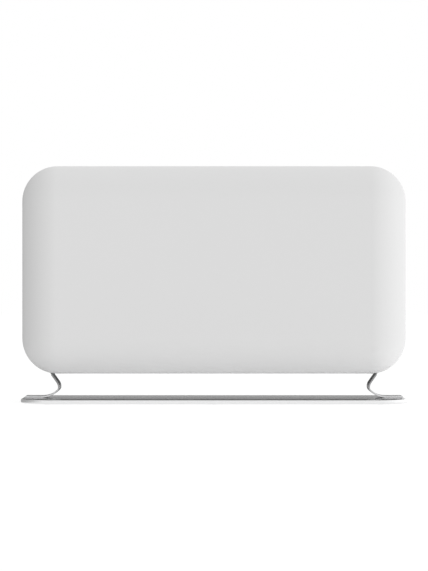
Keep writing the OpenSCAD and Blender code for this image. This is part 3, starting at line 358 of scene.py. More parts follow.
def brushed_group():
    """Noise stretched along x into lines. Inputs are lines per metre and depth in metres."""
    group, start, end = new_group("brushed_lines", {"Lines": 1800, "Depth": 0.00001},
                                  {"Normal": "NodeSocketVector", "Mask": "NodeSocketFloat"})
    where = add_node(group, "ShaderNodeTexCoord").outputs["Object"]
    drawn = add_node(group, "ShaderNodeVectorMath", {0: where, 1: line_stretch}, operation="MULTIPLY")
    lines = add_node(group, "ShaderNodeTexNoise", {"Vector": drawn.outputs[0],
                                                   "Scale": start.outputs["Lines"],
                                                   "Detail": line_detail})
    bump = add_node(group, "ShaderNodeBump", {"Height": lines.outputs[0], "Strength": 1,
                                              "Distance": start.outputs["Depth"]})
    group.links.new(bump.outputs[0], end.inputs["Normal"])
    group.links.new(lines.outputs[0], end.inputs["Mask"])
    return group


fine_grain = grain_group()
brushed_lines = brushed_group()
print("shared effects:", fine_grain.name, brushed_lines.name)


# %% [markdown]
# ## The finishes
# Each finish could be a material drawn by itself, but then every change would be made twenty times. One
# recipe serves them all instead: a base colour that varies a little, a roughness that varies a little,
# and one of the two shared effects for the surface. What differs from finish to finish is a handful of
# numbers, kept in one table. The strip of the legs also gets painted shade: its colour darkens with its
# height, pale on the base and darker above, standing in for the shade that the casing casts on the upper
# part of the bar.

# %% Finishes
def finish(name, colour, rough, metal=0.0, effect=fine_grain, size=2500, depth=0.00001, vary=0.03,
           shine=0.5, clear=0.0, painted_shade=None):
    """A material: with the effect's mask the colour swings by vary and the roughness by twice that, and
    the effect gives the normal. Size is the effect's grains or lines per metre, and depth is in metres.
    Painted_shade is (low, high, share): painted shade, the colour falls to that share between two heights."""
    made = bpy.data.materials.get(name) or bpy.data.materials.new(name)
    made.use_nodes = True
    tree = made.node_tree
    tree.nodes.clear()
    surface = add_node(tree, "ShaderNodeGroup", node_tree=effect)
    surface.inputs[0].default_value = size
    surface.inputs[1].default_value = depth
    light = tuple(min(1, c * (1 + vary)) for c in colour) + (1,)
    dark = tuple(c * (1 - vary) for c in colour) + (1,)
    mask = surface.outputs["Mask"]
    tint = add_node(tree, "ShaderNodeMix", {0: mask, 6: dark, 7: light}, data_type="RGBA").outputs[2]
    gloss = add_node(tree, "ShaderNodeMapRange", {"Value": mask, "To Min": rough * (1 - 2 * vary),
                                                  "To Max": rough * (1 + 2 * vary)})
    # Painted shade: the colour darkens with height, in place of the shade under the casing.
    if painted_shade:
        low, high, share = painted_shade
        fade = fade_along(tree, "Z", low, high, 1, share)
        tint = add_node(tree, "ShaderNodeVectorMath", {0: tint, 1: fade}, operation="MULTIPLY").outputs[0]
    shader = add_node(tree, "ShaderNodeBsdfPrincipled", {
        "Base Color": tint, "Metallic": metal, "Roughness": gloss.outputs[0], "Specular IOR Level": shine,
        "Transmission Weight": clear, "Normal": surface.outputs["Normal"]})
    add_node(tree, "ShaderNodeOutputMaterial", {"Surface": shader.outputs[0]})
    return made


# %% Table of finishes
brushed = {"metal": 1.0, "effect": brushed_lines}
looks = {
    "casing_enamel": dict(colour=(0.83, 0.83, 0.83), rough=0.55, vary=0.005, shine=0.2),
    "grille_enamel": dict(colour=(0.78, 0.78, 0.78), rough=0.5, vary=0.005),
    "satin_metal": dict(colour=(0.8, 0.8, 0.805), rough=0.16, size=1800, depth=0.000002, vary=0.05,
                        **brushed),
    "pocket_grey": dict(colour=(0.30, 0.31, 0.32), rough=0.55, size=1800, depth=0.00002),
    "knob_grey": dict(colour=(0.62, 0.63, 0.64), rough=0.45, size=1800),
    "switch_black": dict(colour=(0.03, 0.03, 0.032), rough=0.45),
    "rocker_black": dict(colour=(0.02, 0.02, 0.021), rough=0.3),
    "lamp_amber": dict(colour=(0.85, 0.32, 0.04), rough=0.1, clear=0.7),
    "thermostat_case": dict(colour=(0.08, 0.07, 0.06), rough=0.5),
    "shaft_steel": dict(colour=(0.6, 0.6, 0.6), rough=0.3, **brushed),
    "fin_aluminium": dict(colour=(0.75, 0.75, 0.76), rough=0.38, **brushed),
    "sheath_steel": dict(colour=(0.35, 0.33, 0.30), rough=0.4, **brushed),
    "white_ceramic": dict(colour=(0.78, 0.75, 0.68), rough=0.35),
    "zinc_plate": dict(colour=(0.62, 0.63, 0.64), rough=0.42, metal=1.0, size=60, vary=0.08),
    "plated_fasteners": dict(colour=(0.66, 0.65, 0.62), rough=0.3, **brushed),
    "painted_screws": dict(colour=(0.78, 0.78, 0.78), rough=0.45),
    "weight_steel": dict(colour=(0.35, 0.35, 0.36), rough=0.4, **brushed),
    "stud_brass": dict(colour=(0.72, 0.53, 0.25), rough=0.3, **brushed),
    "wire_cover": dict(colour=(0.45, 0.05, 0.04), rough=0.5),
    "black_rubber": dict(colour=(0.025, 0.025, 0.025), rough=0.7),
    # The legs' strip has painted shade: darker towards the top, for the shade under the casing.
    "strip_metal": dict(colour=(0.7, 0.7, 0.705), rough=0.38, size=1800, depth=0.000002, vary=0.05,
                        painted_shade=(0.014, 0.034, 0.45), **brushed),
    "white_print": dict(colour=(0.88, 0.88, 0.88), rough=0.6),
}
finishes = {name: finish(name, **look) for name, look in looks.items()}
for node in nodes.values():
    for slot in node.material_slots:
        slot.material = finishes[slot.material.name.split(".")[0]]
print("finishes:", len(finishes))

# %% [markdown]
# ## From arrays to pieces
# The surfaces below could be modelled by hand, but then their sizes would only be right to the eye. So
# they are grids of points: one direction runs along a section, the other along the way the section is
# carried. A grid is worked out as one array, and its faces join each point to its neighbours. Rounded
# edges need no extra tool then, because they are part of the section.

# %% Mesh helpers
mm = 0.001
merge_distance = 1e-6


def grid_faces(rows, columns):
    """Index quads for a grid of points whose last column joins its first."""
    i = np.arange(rows - 1)[:, None]
    j = np.arange(columns)[None, :]
    here = i * columns + j
    beside = i * columns + (j + 1) % columns
    return np.stack([here, beside, beside + columns, here + columns], axis=-1).reshape(-1, 4)


def capped(rings):
    """A grid of rings as (points, quads, caps): the first and the last ring are closed by one face each."""
    rows, columns = rings.shape[:2]
    caps = [np.arange(columns)[::-1], np.arange((rows - 1) * columns, rows * columns)]
    return rings, grid_faces(rows, columns), caps


def turned(profile, place=(0, 0, 0), steps=32):
    """A turned piece: (radius, height) points carried once round z. Those on the axis merge into one."""
    profile = np.asarray(profile, float)
    angle = np.linspace(0, 2 * np.pi, steps, endpoint=False)
    x = profile[:, :1] * np.cos(angle)
    y = profile[:, :1] * np.sin(angle)
    rings = np.stack([x, y, profile[:, 1:] + 0 * x], axis=-1) + np.asarray(place)
    return rings, grid_faces(len(profile), steps), []


def piece(name, parts, finish_name, body, stands_for=()):
    """One object from a list of (points, quads, caps): merged, closed, its faces turned outwards."""
    points, faces, shift = [], [], 0
    for part_points, quads, caps in parts:
        points.append(np.reshape(part_points, (-1, 3)))
        faces += (quads + shift).tolist() + [(cap + shift).tolist() for cap in caps]
        shift += len(points[-1])
    mesh = bpy.data.meshes.new(name)
    mesh.from_pydata(np.concatenate(points).tolist(), [], faces)
    shape = bmesh.new()
    shape.from_mesh(mesh)
    bmesh.ops.remove_doubles(shape, verts=shape.verts, dist=merge_distance)
    bmesh.ops.recalc_face_normals(shape, faces=shape.faces)
    shape.to_mesh(mesh)
    shape.free()
    mesh.polygons.foreach_set("use_smooth", np.ones(len(mesh.polygons), bool))
    mesh.materials.append(finishes[finish_name])
    made = bpy.data.objects.new(name, mesh)
    bpy.context.scene.collection.objects.link(made)
    made.modifiers.new("even_normals", "WEIGHTED_NORMAL").weight = 100
    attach(made, body)
    if stands_for:
        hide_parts(*stands_for)
    print(name, "has", len(mesh.polygons), "faces")
    return made


# %% [markdown]
# ## The front panel
# It is one sheet of steel, rolled over at all four sides. The roll isn't a plain quarter circle: it is
# tight at the crest and opens into a wide arc towards the face, and the two arcs meet without a kink.
# A block with a bevel would have one radius only, so a section with both arcs is carried round a
# rectangle with round corners. The light on this curve is most of what the picture shows, so it gets
# many fine steps.

# %% The roll
corner_r = 64 * mm
roll_d = 44 * mm
crest_r = 24 * mm
sheet = 1.2 * mm
hem_r = 0.4 * mm
straight_x = body_w / 2 - corner_r
straight_z = body_h / 2 - corner_r
crest_y = -front_y - roll_d
face_r = (corner_r ** 2 + roll_d ** 2 - 2 * corner_r * crest_r) / (2 * (roll_d - crest_r))
blend_angle = np.arctan2(face_r - roll_d, corner_r - crest_r)
print("wide arc of the roll:", round(face_r / mm, 1), "mm")


def roll_section(inset, crest_steps=16, face_steps=28):
    """Points of the roll from crest to face: an arc of crest_r about (corner_r - crest_r, 0), then one
    of face_r about (0, roll_d - face_r). Both lose the inset from their radius."""
    tight = np.linspace(0, blend_angle, crest_steps, endpoint=False)
    wide = np.linspace(blend_angle, np.pi / 2, face_steps)
    tight_r, wide_r = crest_r - inset, face_r - inset
    out = np.concatenate([corner_r - crest_r + tight_r * np.cos(tight), wide_r * np.cos(wide)])
    deep = np.concatenate([tight_r * np.sin(tight), roll_d - face_r + wide_r * np.sin(wide)])
    return np.stack([out, deep], axis=1)


def hem_section(steps=6):
    """The sheet's cut edge at the crest, from inside to outside, both of its corners rounded by hem_r."""
    turn = np.linspace(0, np.pi / 2, steps)
    across, along = hem_r * (1 - np.sin(turn)), hem_r * (1 - np.cos(turn))
    inner = np.stack([corner_r - sheet + along, across], axis=1)
    outer = np.stack([corner_r - along[::-1], across[::-1]], axis=1)
    return np.concatenate([inner, outer])


# %% Round corners
def round_rectangle(section, half_u, half_v, corner_steps=24):
    """Carries (out, deep) points round four corners: u is half_u + out cos a, v is half_v + out sin a.
    Gives a grid of (u, v, deep) points."""
    turn = np.linspace(0, np.pi / 2, corner_steps)
    angle = np.concatenate([turn + quarter * np.pi / 2 for quarter in range(4)])
    middle_u = np.repeat(np.array([1, -1, -1, 1]) * half_u, corner_steps)
    middle_v = np.repeat(np.array([1, 1, -1, -1]) * half_v, corner_steps)
    out, deep = section[:, :1], section[:, 1:]
    u = middle_u + out * np.cos(angle)
    return np.stack([u, middle_v + out * np.sin(angle), deep + 0 * u], axis=-1)


def closed_by_flats(rings):
    """A grid as (points, quads, caps). Its first and last ring are four points each, closed by one flat."""
    rows, columns = rings.shape[:2]
    quarters = np.arange(4) * columns // 4
    return rings, grid_faces(rows, columns), [quarters[::-1], (rows - 1) * columns + quarters]


# %% Panel sheet
inner, outer = roll_section(sheet), roll_section(0)
section = np.concatenate([inner[inner[:, 1] > hem_r][::-1], hem_section(), outer[outer[:, 1] > hem_r]])
u, v, deep = np.moveaxis(round_rectangle(section, straight_x, straight_z), -1, 0)
panel_parts = [closed_by_flats(np.stack([u, -crest_y - deep, body_mid + v], axis=-1))]
print("points along the panel's section:", len(section))

# %% [markdown]
# ## The tabs behind the rim
# Four tabs stand inside the rim, and the side screws hold the panel by them. On the real panel they are
# short strips, spot-welded to the sheet. A cube with a bevel could stand for one, but here each is a flat
# outline with round corners, carried through its own thickness, because the same helper also makes the
# rockers and the marks.

# %% Panel tabs
def round_outline(half_u, half_v, radius, steps=6):
    """A rectangle in (u, v) with four round corners, as one line of points."""
    return round_rectangle(np.array([[radius, 0]]), half_u - radius, half_v - radius, steps)[0, :, :2]


def pressed(outline, low, high, edge, steps=4):
    """A closed outline (u, v) carried along w, with both rims rounded: at edge (1 - cos t) from an end it
    is shrunk by edge (1 - sin t) along its own normals. Gives a grid of (u, v, w) points."""
    ahead = np.roll(outline, -1, axis=0) - np.roll(outline, 1, axis=0)
    ahead = ahead / np.linalg.norm(ahead, axis=1, keepdims=True)
    outward = np.stack([ahead[:, 1], -ahead[:, 0]], axis=1)
    turn = np.linspace(0, np.pi / 2, steps)
    shrink, from_end = edge * (1 - np.sin(turn)), edge * (1 - np.cos(turn))
    less = np.concatenate([shrink, shrink[::-1]])[:, None, None]
    w = np.concatenate([low + from_end, high - from_end[::-1]])[:, None]
    rings = outline[None] - less * outward[None]
    return np.concatenate([rings, (w + 0 * rings[..., 0])[..., None]], axis=-1)


tab_t, tab_in = 1.6 * mm, 1.5 * mm
tab_front, tab_back, tab_half = -23.1 * mm, -4 * mm, 9 * mm
tab_corner, tab_edge = 2 * mm, 0.2 * mm
low_tab_up, high_tab_down = 34 * mm, 10 * mm
tab_heights = (body_mid - straight_z + low_tab_up, body_mid + straight_z - high_tab_down)
tab_outer = body_w / 2 - tab_in
tab_line = round_outline((tab_back - tab_front) / 2, tab_half, tab_corner)
tab = pressed(tab_line, tab_outer - tab_t, tab_outer, tab_edge)[..., [2, 0, 1]]
for z in tab_heights:
    for side in (1, -1):
        panel_parts.append(capped((tab + [0, (tab_front + tab_back) / 2, z]) * [side, 1, 1]))
piece("front_panel_rolled", panel_parts, "casing_enamel", "heater", ["front_panel"])

# %% [markdown]
# ## The legs
# Each leg is one length of flat bar: it lies on the base, lifts off in a wide bend, turns upright at the
# tight knee, leans out above it, and goes into the casing through a slot. The bends run into each other
# without straight parts between them, as the photograph shows. One of Blender's curves could follow that
# path, but the cut ends of its bar would be sharp. So the section of the bar is carried along the path
# as an array, with the same small rounding on edges and ends. It is what catches the light along the
# strip.

# %% Leg path
leg_w = 50 * mm
leg_t = 3 * mm
leg_edge_r = 1.1 * mm
foot_len, foot_bend_r, foot_angle = 29.6 * mm, 42.1 * mm, 45
knee_r, neck_r, leg_lean = 7.5 * mm, 16.4 * mm, 35.5
shoulder_gap = 1 * mm
tongue_w, tongue_run, tongue_r, tongue_len = 24.2 * mm, 9 * mm, 10 * mm, 24 * mm
bend_step = 2.5


def bent_path(steps, start=(0, 0, 0)):
    """Places (x, z, heading in degrees) along straight runs (length, 0) and bends (radius, turn)."""
    places = [np.array([start], float)]
    for run, turn in steps:
        x, z, heading = places[-1][-1]
        if turn == 0:
            way = np.radians(heading)
            places.append(np.array([[x + run * np.cos(way), z + run * np.sin(way), heading]]))
            continue
        side = np.sign(turn)
        angles = heading + np.linspace(0, turn, int(np.ceil(abs(turn) / bend_step)) + 1)[1:]
        a, b = np.radians(heading), np.radians(angles)
        places.append(np.stack([x + side * run * (np.sin(b) - np.sin(a)),
                                z + side * run * (np.cos(a) - np.cos(b)), angles], axis=1))
    return np.concatenate(places)


leg_steps = [(foot_len, 0), (foot_bend_r, foot_angle), (knee_r, 90 - foot_angle), (neck_r, leg_lean)]
leg_rise = bent_path(leg_steps)[-1][1]
casing_gap = housing_low[2] - base_high[2]
thigh_len = (casing_gap - shoulder_gap - leg_t / 2 - leg_rise) / np.cos(np.radians(leg_lean))
leg_places = bent_path(leg_steps + [(thigh_len, 0)])
tongue_places = bent_path([(tongue_run, 0), (tongue_r, -leg_lean), (tongue_len, 0)], leg_places[-1])
print("rise of the bends:", round(leg_rise / mm, 1), "mm")
print("straight part above them:", round(thigh_len / mm, 1), "mm")


# %% Bar along a path
def strip(places, width, thick, edge_r, edge_steps=5):
    """A bar of that width along the places. Its section is a rectangle with corners of edge_r. Both ends
    close with the same rounding: a ring at edge_r (1 - cos t) from the end is shrunk by
    edge_r (1 - sin t)."""
    turn = np.linspace(0, np.pi / 2, edge_steps)
    angle = np.concatenate([turn + quarter * np.pi / 2 for quarter in range(4)])
    across = np.repeat(np.array([1, -1, -1, 1]) * (width / 2 - edge_r), edge_steps)
    up = np.repeat(np.array([1, 1, -1, -1]) * (thick / 2 - edge_r), edge_steps)
    shrink = edge_r * (1 - np.sin(turn))
    from_end = edge_r * (1 - np.cos(turn))

    way = np.radians(places[:, 2])
    ahead = np.stack([np.cos(way), np.sin(way)], axis=1)
    first = places[0, :2] + from_end[:, None] * ahead[0]
    last = places[-1, :2] - from_end[::-1, None] * ahead[-1]
    middle = np.concatenate([first, places[1:-1, :2], last])
    start, end = np.repeat(way[:1], edge_steps), np.repeat(way[-1:], edge_steps)
    heading = np.concatenate([start, way[1:-1], end])[:, None]
    less = np.concatenate([shrink, np.zeros(len(places) - 2), shrink[::-1]])[:, None]

    a = across + (edge_r - less) * np.cos(angle)
    b = up + (edge_r - less) * np.sin(angle)
    x = middle[:, :1] - b * np.sin(heading)
    z = middle[:, 1:] + b * np.cos(heading)
    return capped(np.stack([x, a, z], axis=-1))


# %% Legs
foot_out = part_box("leg_left")[0][0]
foot_z = base_high[2] + leg_t / 2
stud_r, stud_end, stud_in, stud_y, stud_edge = 2.5 * mm, 6.4 * mm, 14 * mm, 15 * mm, 0.5 * mm
stud_profile = [(0, -stud_end), (stud_r - stud_edge, -stud_end), (stud_r, stud_edge - stud_end),
                (stud_r, 0), (0, 0)]
for side, facing in (("left", 1), ("right", -1)):
    leg_parts = [strip(leg_places, leg_w, leg_t, leg_edge_r),
                 strip(tongue_places, tongue_w, leg_t, leg_edge_r)]
    leg_parts += [turned(stud_profile, (stud_in, y, -leg_t / 2), steps=16) for y in (-stud_y, stud_y)]
    placed = [((points + [foot_out, 0, foot_z]) * [facing, 1, 1], *faces) for points, *faces in leg_parts]
    piece("leg_" + side + "_bar", placed, "strip_metal", "heater", ["leg_" + side])

# %% [markdown]
# ## The base
# The base is a low tray, pressed from one sheet. A press leaves no sharp shoulder on a tray like this:
# the flat top first falls away in a wide arc, and only then turns down into the short skirt. The wide
# arc leans towards the camera, so it mirrors a higher and darker part of the card behind than the flat
# does. That is the dark line which the photograph shows along the front of the base. A block with a
# bevel has no such arc, so the section is carried round the corners like the panel's. The holes for
# the studs are left out, because each is filled by its stud and covered by foot and nut.

# %% Base section
def arc(middle, radius, start, end, steps=8):
    """Points on a circle about the middle, from one angle to another in degrees."""
    angle = np.radians(np.linspace(start, end, steps))
    return np.stack([middle[0] + radius * np.cos(angle), middle[1] + radius * np.sin(angle)], axis=1)


base_r, base_sheet = 60 * mm, 2 * mm
shoulder_r, shoulder_angle, bend_r = 400 * mm, 3, 2.1 * mm
cut_edge_r = 0.5 * mm
top_z, skirt_z = base_high[2], base_low[2]
bend_middle = base_r - bend_r
shoulder_turn = np.radians(shoulder_angle)
shoulder_middle = bend_middle - (shoulder_r - bend_r) * np.sin(shoulder_turn)
bend_z = top_z - shoulder_r + (shoulder_r - bend_r) * np.cos(shoulder_turn)


def tray_section(inset):
    """Points from the middle of the top out and down the skirt: an arc of shoulder_r falls away from the
    flat, then one of bend_r turns it upright. Both lose the inset from their radius."""
    tilt = 90 - shoulder_angle
    shoulder = arc((shoulder_middle, top_z - shoulder_r), shoulder_r - inset, 90, tilt, steps=10)
    bend = arc((bend_middle, bend_z), bend_r - inset, tilt, 0, steps=12)
    return np.concatenate([[[0, top_z - inset]], shoulder, bend[1:]])


print("flat of the base ends", round((base_r - shoulder_middle) / mm, 1), "mm from its edge")

# %% Base tray
outer_edge = (base_r - cut_edge_r, skirt_z + cut_edge_r)
inner_edge = (base_r - base_sheet + cut_edge_r, skirt_z + cut_edge_r)
tray_foot = np.concatenate([arc(outer_edge, cut_edge_r, 0, -90, steps=4),
                            arc(inner_edge, cut_edge_r, -90, -180, steps=4)])
tray = np.concatenate([tray_section(0), tray_foot, tray_section(base_sheet)[::-1]])
base_half_u = (base_high[0] - base_low[0]) / 2 - base_r
base_half_v = (base_high[1] - base_low[1]) / 2 - base_r
base_parts = [closed_by_flats(round_rectangle(tray, base_half_u, base_half_v))]
piece("base_plate_pressed", base_parts, "satin_metal", "heater", ["base_plate"])

# %% [markdown]
# ## The thermostat knob
# The knob sits in the pocket at the right-hand end. It is moulded: a round skirt, and a grip with twelve
# flutes to hold. Twelve cylinders could be cut out of it, but their edges would be hard to round. A
# flute is a circle in the rim, so the grip's radius is worked out from the angle instead: it is the
# grip's own circle, or the near side of the nearest flute's, whichever is smaller. Each ring of the knob
# then has a radius of its own plus a share of the grip's.

# %% Knob sizes
pocket_x, knob_y, knob_z = joint_at["knob_turn"]
knob_gap = 1 * mm
knob_r, grip_r, knob_len, skirt_t = 16 * mm, 13.5 * mm, 20 * mm, 4 * mm
flutes, flute_r, flute_cut = 12, 2.6 * mm, 1 * mm
knob_edge, grip_edge, grip_foot = 0.5 * mm, 1.6 * mm, 0.7 * mm
dish_deep, dish_steps = 0.5 * mm, 9
knob_rest = 135
knob_steps = 288
print("knob:", round(2 * knob_r / mm, 1), "mm across, with", flutes, "flutes")


def grip_radius(angle):
    """The grip's radius at an angle. A flute of radius f has its middle at c from the axis, and its near
    side is c cos a - sqrt(f^2 - c^2 sin^2 a), where a is the angle from the flute's middle."""
    away = (angle / (2 * np.pi) * flutes) % 1 - 0.5
    a = away * 2 * np.pi / flutes
    middle = grip_r + flute_r - flute_cut
    inside = flute_r ** 2 - (middle * np.sin(a)) ** 2
    near = middle * np.cos(a) - np.sqrt(np.maximum(inside, 0))
    return np.where(inside > 0, np.minimum(near, grip_r), grip_r)


def knob_rings():
    """Rings of (x, y, z) about the x axis, from the back of the skirt to the dished end. Those of the
    skirt are round, and the radius of the others is their own number plus the grip's radius. Over the
    dish the rings shrink evenly, and it deepens with sin^2 of the way in."""
    skirt = np.concatenate([[[0, 0]],
                            arc((knob_r - knob_edge, knob_edge), knob_edge, -90, 0, steps=4),
                            arc((knob_r - knob_edge, skirt_t - knob_edge), knob_edge, 0, 90, steps=4)])
    foot = arc((grip_foot, skirt_t + grip_foot), grip_foot, -90, -180, steps=5)
    rim = arc((-grip_edge, knob_len - grip_edge), grip_edge, 0, 90, steps=7)
    round_share = np.linspace(1, 0, dish_steps)[1:]
    dish_x = knob_len - dish_deep * np.sin(np.linspace(0, np.pi / 2, dish_steps))[1:] ** 2
    angle = np.linspace(0, 2 * np.pi, knob_steps, endpoint=False)
    grip = grip_radius(angle)[None, :]
    radius = np.concatenate([skirt[:, :1] + 0 * grip, foot[:, :1] + grip, rim[:, :1] + grip,
                             round_share[:, None] * (grip - grip_edge)])
    x = np.concatenate([skirt[:, 1], foot[:, 1], rim[:, 1], dish_x])[:, None]
    return np.stack([x + 0 * radius, radius * np.sin(angle), radius * np.cos(angle)], axis=-1)


# %% Knob
def about_x(points, degrees):
    """Points turned about the x axis: y' = y cos a - z sin a, z' = y sin a + z cos a."""
    a = np.radians(degrees)
    x, y, z = np.moveaxis(points, -1, 0)
    return np.stack([x, y * np.cos(a) - z * np.sin(a), y * np.sin(a) + z * np.cos(a)], axis=-1)


knob_place = np.array([pocket_x + knob_gap, knob_y, knob_z])
rings = about_x(knob_rings(), knob_rest) + knob_place
knob_parts = [(rings, grid_faces(*rings.shape[:2]), [])]
piece("knob_fluted", knob_parts, "knob_grey", "thermostat", ["thermostat_knob"])

# %% [markdown]
# ## The pointer and the scale
# A dark line on the knob's end shows the setting, and plain numerals stand round it on the floor of the
# pocket, with a dot at the lowest setting. On the real heater they are printed. An image could show
# them, but it would need a flat laid out for it, so each mark is thin raised print. The numerals come
# from Blender's own font: each is turned into a mesh at once, so that it is a piece like any other.

# %% Pointer
pointer_w, pointer_in, pointer_out, pointer_t = 1.4 * mm, 4.5 * mm, 12.3 * mm, 1 * mm
pointer_proud, pointer_corner, pointer_edge = 0.15 * mm, 0.5 * mm, 0.15 * mm
pointer_line = round_outline(pointer_w / 2, (pointer_out - pointer_in) / 2, pointer_corner)
pointer = pressed(pointer_line, knob_len - pointer_t, knob_len + pointer_proud, pointer_edge)
pointer = pointer[..., [2, 0, 1]] + [0, 0, (pointer_in + pointer_out) / 2]
piece("knob_pointer", [capped(about_x(pointer, knob_rest) + knob_place)], "switch_black", "thermostat")

# %% Scale
scale_r, numeral_size, print_t, dot_r = 17.75 * mm, 2.7 * mm, 0.1 * mm, 0.45 * mm
scale_marks = 7
scale_angles = np.radians(np.linspace(-knob_rest, knob_rest, scale_marks))
no_quads = np.empty((0, 4), int)
print("the scale runs over", 2 * knob_rest, "degrees")


def numeral(written, size, thick):
    """A numeral as (points, quads, caps), flat about its middle, with its front towards z."""
    curve = bpy.data.curves.new("numeral", "FONT")
    curve.body = written
    curve.size = size
    curve.extrude = thick / 2
    curve.resolution_u = 4
    curve.align_x, curve.align_y = "CENTER", "CENTER"
    holder = bpy.data.objects.new("numeral", curve)
    bpy.context.scene.collection.objects.link(holder)
    mesh = bpy.data.meshes.new_from_object(holder)
    points = np.empty(3 * len(mesh.vertices))
    mesh.vertices.foreach_get("co", points)
    faces = [np.array(face.vertices) for face in mesh.polygons]
    bpy.data.objects.remove(holder)
    bpy.data.curves.remove(curve)
    bpy.data.meshes.remove(mesh)
    points = points.reshape(-1, 3)
    return points - (points.min(axis=0) + points.max(axis=0)) / 2, no_quads, faces


# %% Marks in place
dot_profile = [(0, -print_t / 2), (dot_r, -print_t / 2), (dot_r, print_t / 2), (0, print_t / 2)]
marks = [turned(dot_profile, steps=16)]
marks += [numeral(str(n), numeral_size, print_t) for n in range(1, scale_marks)]
scale_parts = []
for (points, *faces), angle in zip(marks, scale_angles):
    place = [pocket_x + print_t / 4, knob_y + scale_r * np.sin(angle), knob_z + scale_r * np.cos(angle)]
    scale_parts.append((points[..., [2, 0, 1]] + place, *faces))
piece("pocket_scale", scale_parts, "white_print", "heater")

# %% [markdown]
# ## The rocker switches
# A rocker is a short thick wedge whose two faces meet at a flat angle over its pivot: press one end in,
# and the other comes out. Each turns about its own pin, so each is a piece of its own on its own body.
# The end that is pressed in for off has the usual ring, and the other end has the usual bar. A block
# with a bevel would lose the flat angle, so the outline is worked out from circle, faces and back, and
# carried along the pin. Both marks are thin mouldings let into the faces.

# %% Rocker outline
rocker_r, rocker_half_w, rocker_back, rocker_apex = 8.2 * mm, 5.2 * mm, -5 * mm, 2.9 * mm
rocker_edge, rocker_corner, corner_turn = 0.6 * mm, 1.1 * mm, 8
rocker_tip = 12


def soft_corner(before, corner, after, reach, steps=5):
    """A corner C drawn as a parabola: A (1-t)^2 + 2 C t (1-t) + B t^2, with A and B at reach from C."""
    a = corner + (before - corner) * reach / np.linalg.norm(before - corner)
    b = corner + (after - corner) * reach / np.linalg.norm(after - corner)
    t = np.linspace(0, 1, steps)[:, None]
    return a * (1 - t) ** 2 + 2 * corner * t * (1 - t) + b * t ** 2


def rocker_line():
    """The rocker seen along its pin, as (x, z) points: two faces from the apex at the tip angle, cut off by
    a circle of rocker_r about the pin and by the flat back."""
    slope = np.tan(np.radians(rocker_tip))
    root = np.sqrt(rocker_r ** 2 * (1 + slope ** 2) - rocker_apex ** 2)
    rise = (root - rocker_apex * slope) / (1 + slope ** 2)
    corner = np.array([rocker_apex + rise * slope, rise])
    face_angle = np.degrees(np.arctan2(corner[1], corner[0]))
    back_angle = np.degrees(np.arccos(rocker_back / rocker_r))
    round_end = arc((0, 0), rocker_r, face_angle + corner_turn, back_angle)
    apex = np.array([rocker_apex, 0])
    upper = np.concatenate([soft_corner(apex, corner, round_end[0], rocker_corner), round_end[1:]])
    return np.concatenate([[apex], upper, upper[::-1] * [1, -1]])


wedge_line = rocker_line()
print("points along a rocker's outline:", len(wedge_line))


# %% Rocker marks
mark_along, mark_t, mark_proud = 4.3 * mm, 0.4 * mm, 0.06 * mm
bar_half_w, bar_half_len, bar_corner, bar_edge = 0.3 * mm, 1.4 * mm, 0.15 * mm, 0.05 * mm
ring_in, ring_out = 0.85 * mm, 1.35 * mm


def about_y(points, degrees):
    """Points turned about the y axis so that their top end goes in: x' = x cos a - z sin a,
    z' = x sin a + z cos a."""
    a = np.radians(degrees)
    x, y, z = np.moveaxis(points, -1, 0)
    return np.stack([x * np.cos(a) - z * np.sin(a), y, x * np.sin(a) + z * np.cos(a)], axis=-1)


def on_face(points, end):
    """Puts flat (u, v, w) points on the face towards that end: u runs across, v along the face, w out."""
    tip = np.radians(rocker_tip)
    u, v, w = np.moveaxis(points, -1, 0)
    along = mark_along + v
    x = rocker_apex + along * np.sin(tip) + w * np.cos(tip)
    z = end * (along * np.cos(tip) - w * np.sin(tip))
    return np.stack([x, u, z], axis=-1)


bar_line = round_outline(bar_half_w, bar_half_len, bar_corner, steps=3)
bar = pressed(bar_line, mark_proud - mark_t, mark_proud, bar_edge, steps=2)
ring_section = [(ring_in, mark_proud), (ring_out, mark_proud), (ring_out, mark_proud - mark_t),
                (ring_in, mark_proud - mark_t), (ring_in, mark_proud)]
ring_points, ring_quads, ring_caps = turned(ring_section)
bar_in_place = about_y(on_face(bar, -1), rocker_tip)
ring_in_place = about_y(on_face(ring_points, 1), rocker_tip)
print("ring and bar:", round(2 * ring_out / mm, 2), "and", round(2 * bar_half_len / mm, 2), "mm")

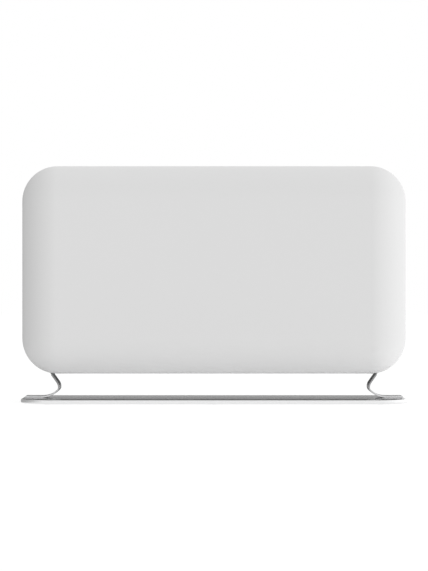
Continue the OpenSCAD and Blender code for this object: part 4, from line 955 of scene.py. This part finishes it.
# %% Rockers
trunnion_r, trunnion_end = 1.2 * mm, 6.3 * mm
pin_profile = [(0, -trunnion_end), (trunnion_r, -trunnion_end), (trunnion_r, trunnion_end),
               (0, trunnion_end)]
pin_points, pin_quads, pin_caps = turned(pin_profile, steps=20)
pin_in_place = pin_points[..., [0, 2, 1]]
wedge = pressed(wedge_line, -rocker_half_w, rocker_half_w, rocker_edge)[..., [0, 2, 1]]
wedge_in_place = about_y(wedge, rocker_tip)
for which in ("low", "high"):
    place = joint_at[which + "_rocker_tip"]
    solid = [capped(wedge_in_place + place), (pin_in_place + place, pin_quads, pin_caps)]
    signs = [capped(bar_in_place + place), (ring_in_place + place, ring_quads, ring_caps)]
    piece("rocker_" + which + "_wedge", solid, "rocker_black", which + "_rocker", ["rocker_" + which])
    piece("rocker_" + which + "_marks", signs, "white_print", which + "_rocker")

# %% [markdown]
# ## The pilot lamp
# The lens is a low dome of clear amber plastic. Its face has rings moulded in, which spread the light of
# the small bulb behind it, and which keep it from looking like a flat sticker when it is off. A normal
# map could fake the rings, but from the side they would vanish. So they are in the profile, which is
# turned once about the lamp's axis.

# %% Lens
lamp_z, lamp_r, lens_rim, lens_dome, lens_edge = 303 * mm, 4.5 * mm, 1.5 * mm, 1.2 * mm, 0.3 * mm
stem_r, stem_back, ring_pitch, ring_deep = 3.7 * mm, -16 * mm, 0.9 * mm, 0.22 * mm


def lens_profile(steps=40):
    """(radius, height) from the stem's back over the rim to the middle: the dome falls with the square of
    the radius, and rings of ring_pitch ripple it."""
    radius = np.linspace(lamp_r - lens_edge, 0, steps)
    ripple = ring_deep / 2 * (1 - np.cos(2 * np.pi * radius / ring_pitch))
    height = lens_rim + lens_dome * (1 - (radius / lamp_r) ** 2) - ripple * (radius / lamp_r)
    stem = [(0, stem_back), (stem_r, stem_back), (stem_r, 0), (lamp_r - lens_edge, 0), (lamp_r, lens_edge),
            (lamp_r, lens_rim - lens_edge)]
    return np.concatenate([stem, np.stack([radius, height], axis=1)])


points, quads, caps = turned(lens_profile(), steps=48)
lamp_place = np.array([pocket_x, knob_y, lamp_z])
lens_parts = [(points[..., [2, 0, 1]] + lamp_place, quads, caps)]
piece("pilot_lens", lens_parts, "lamp_amber", "heater", ["pilot_lamp"])
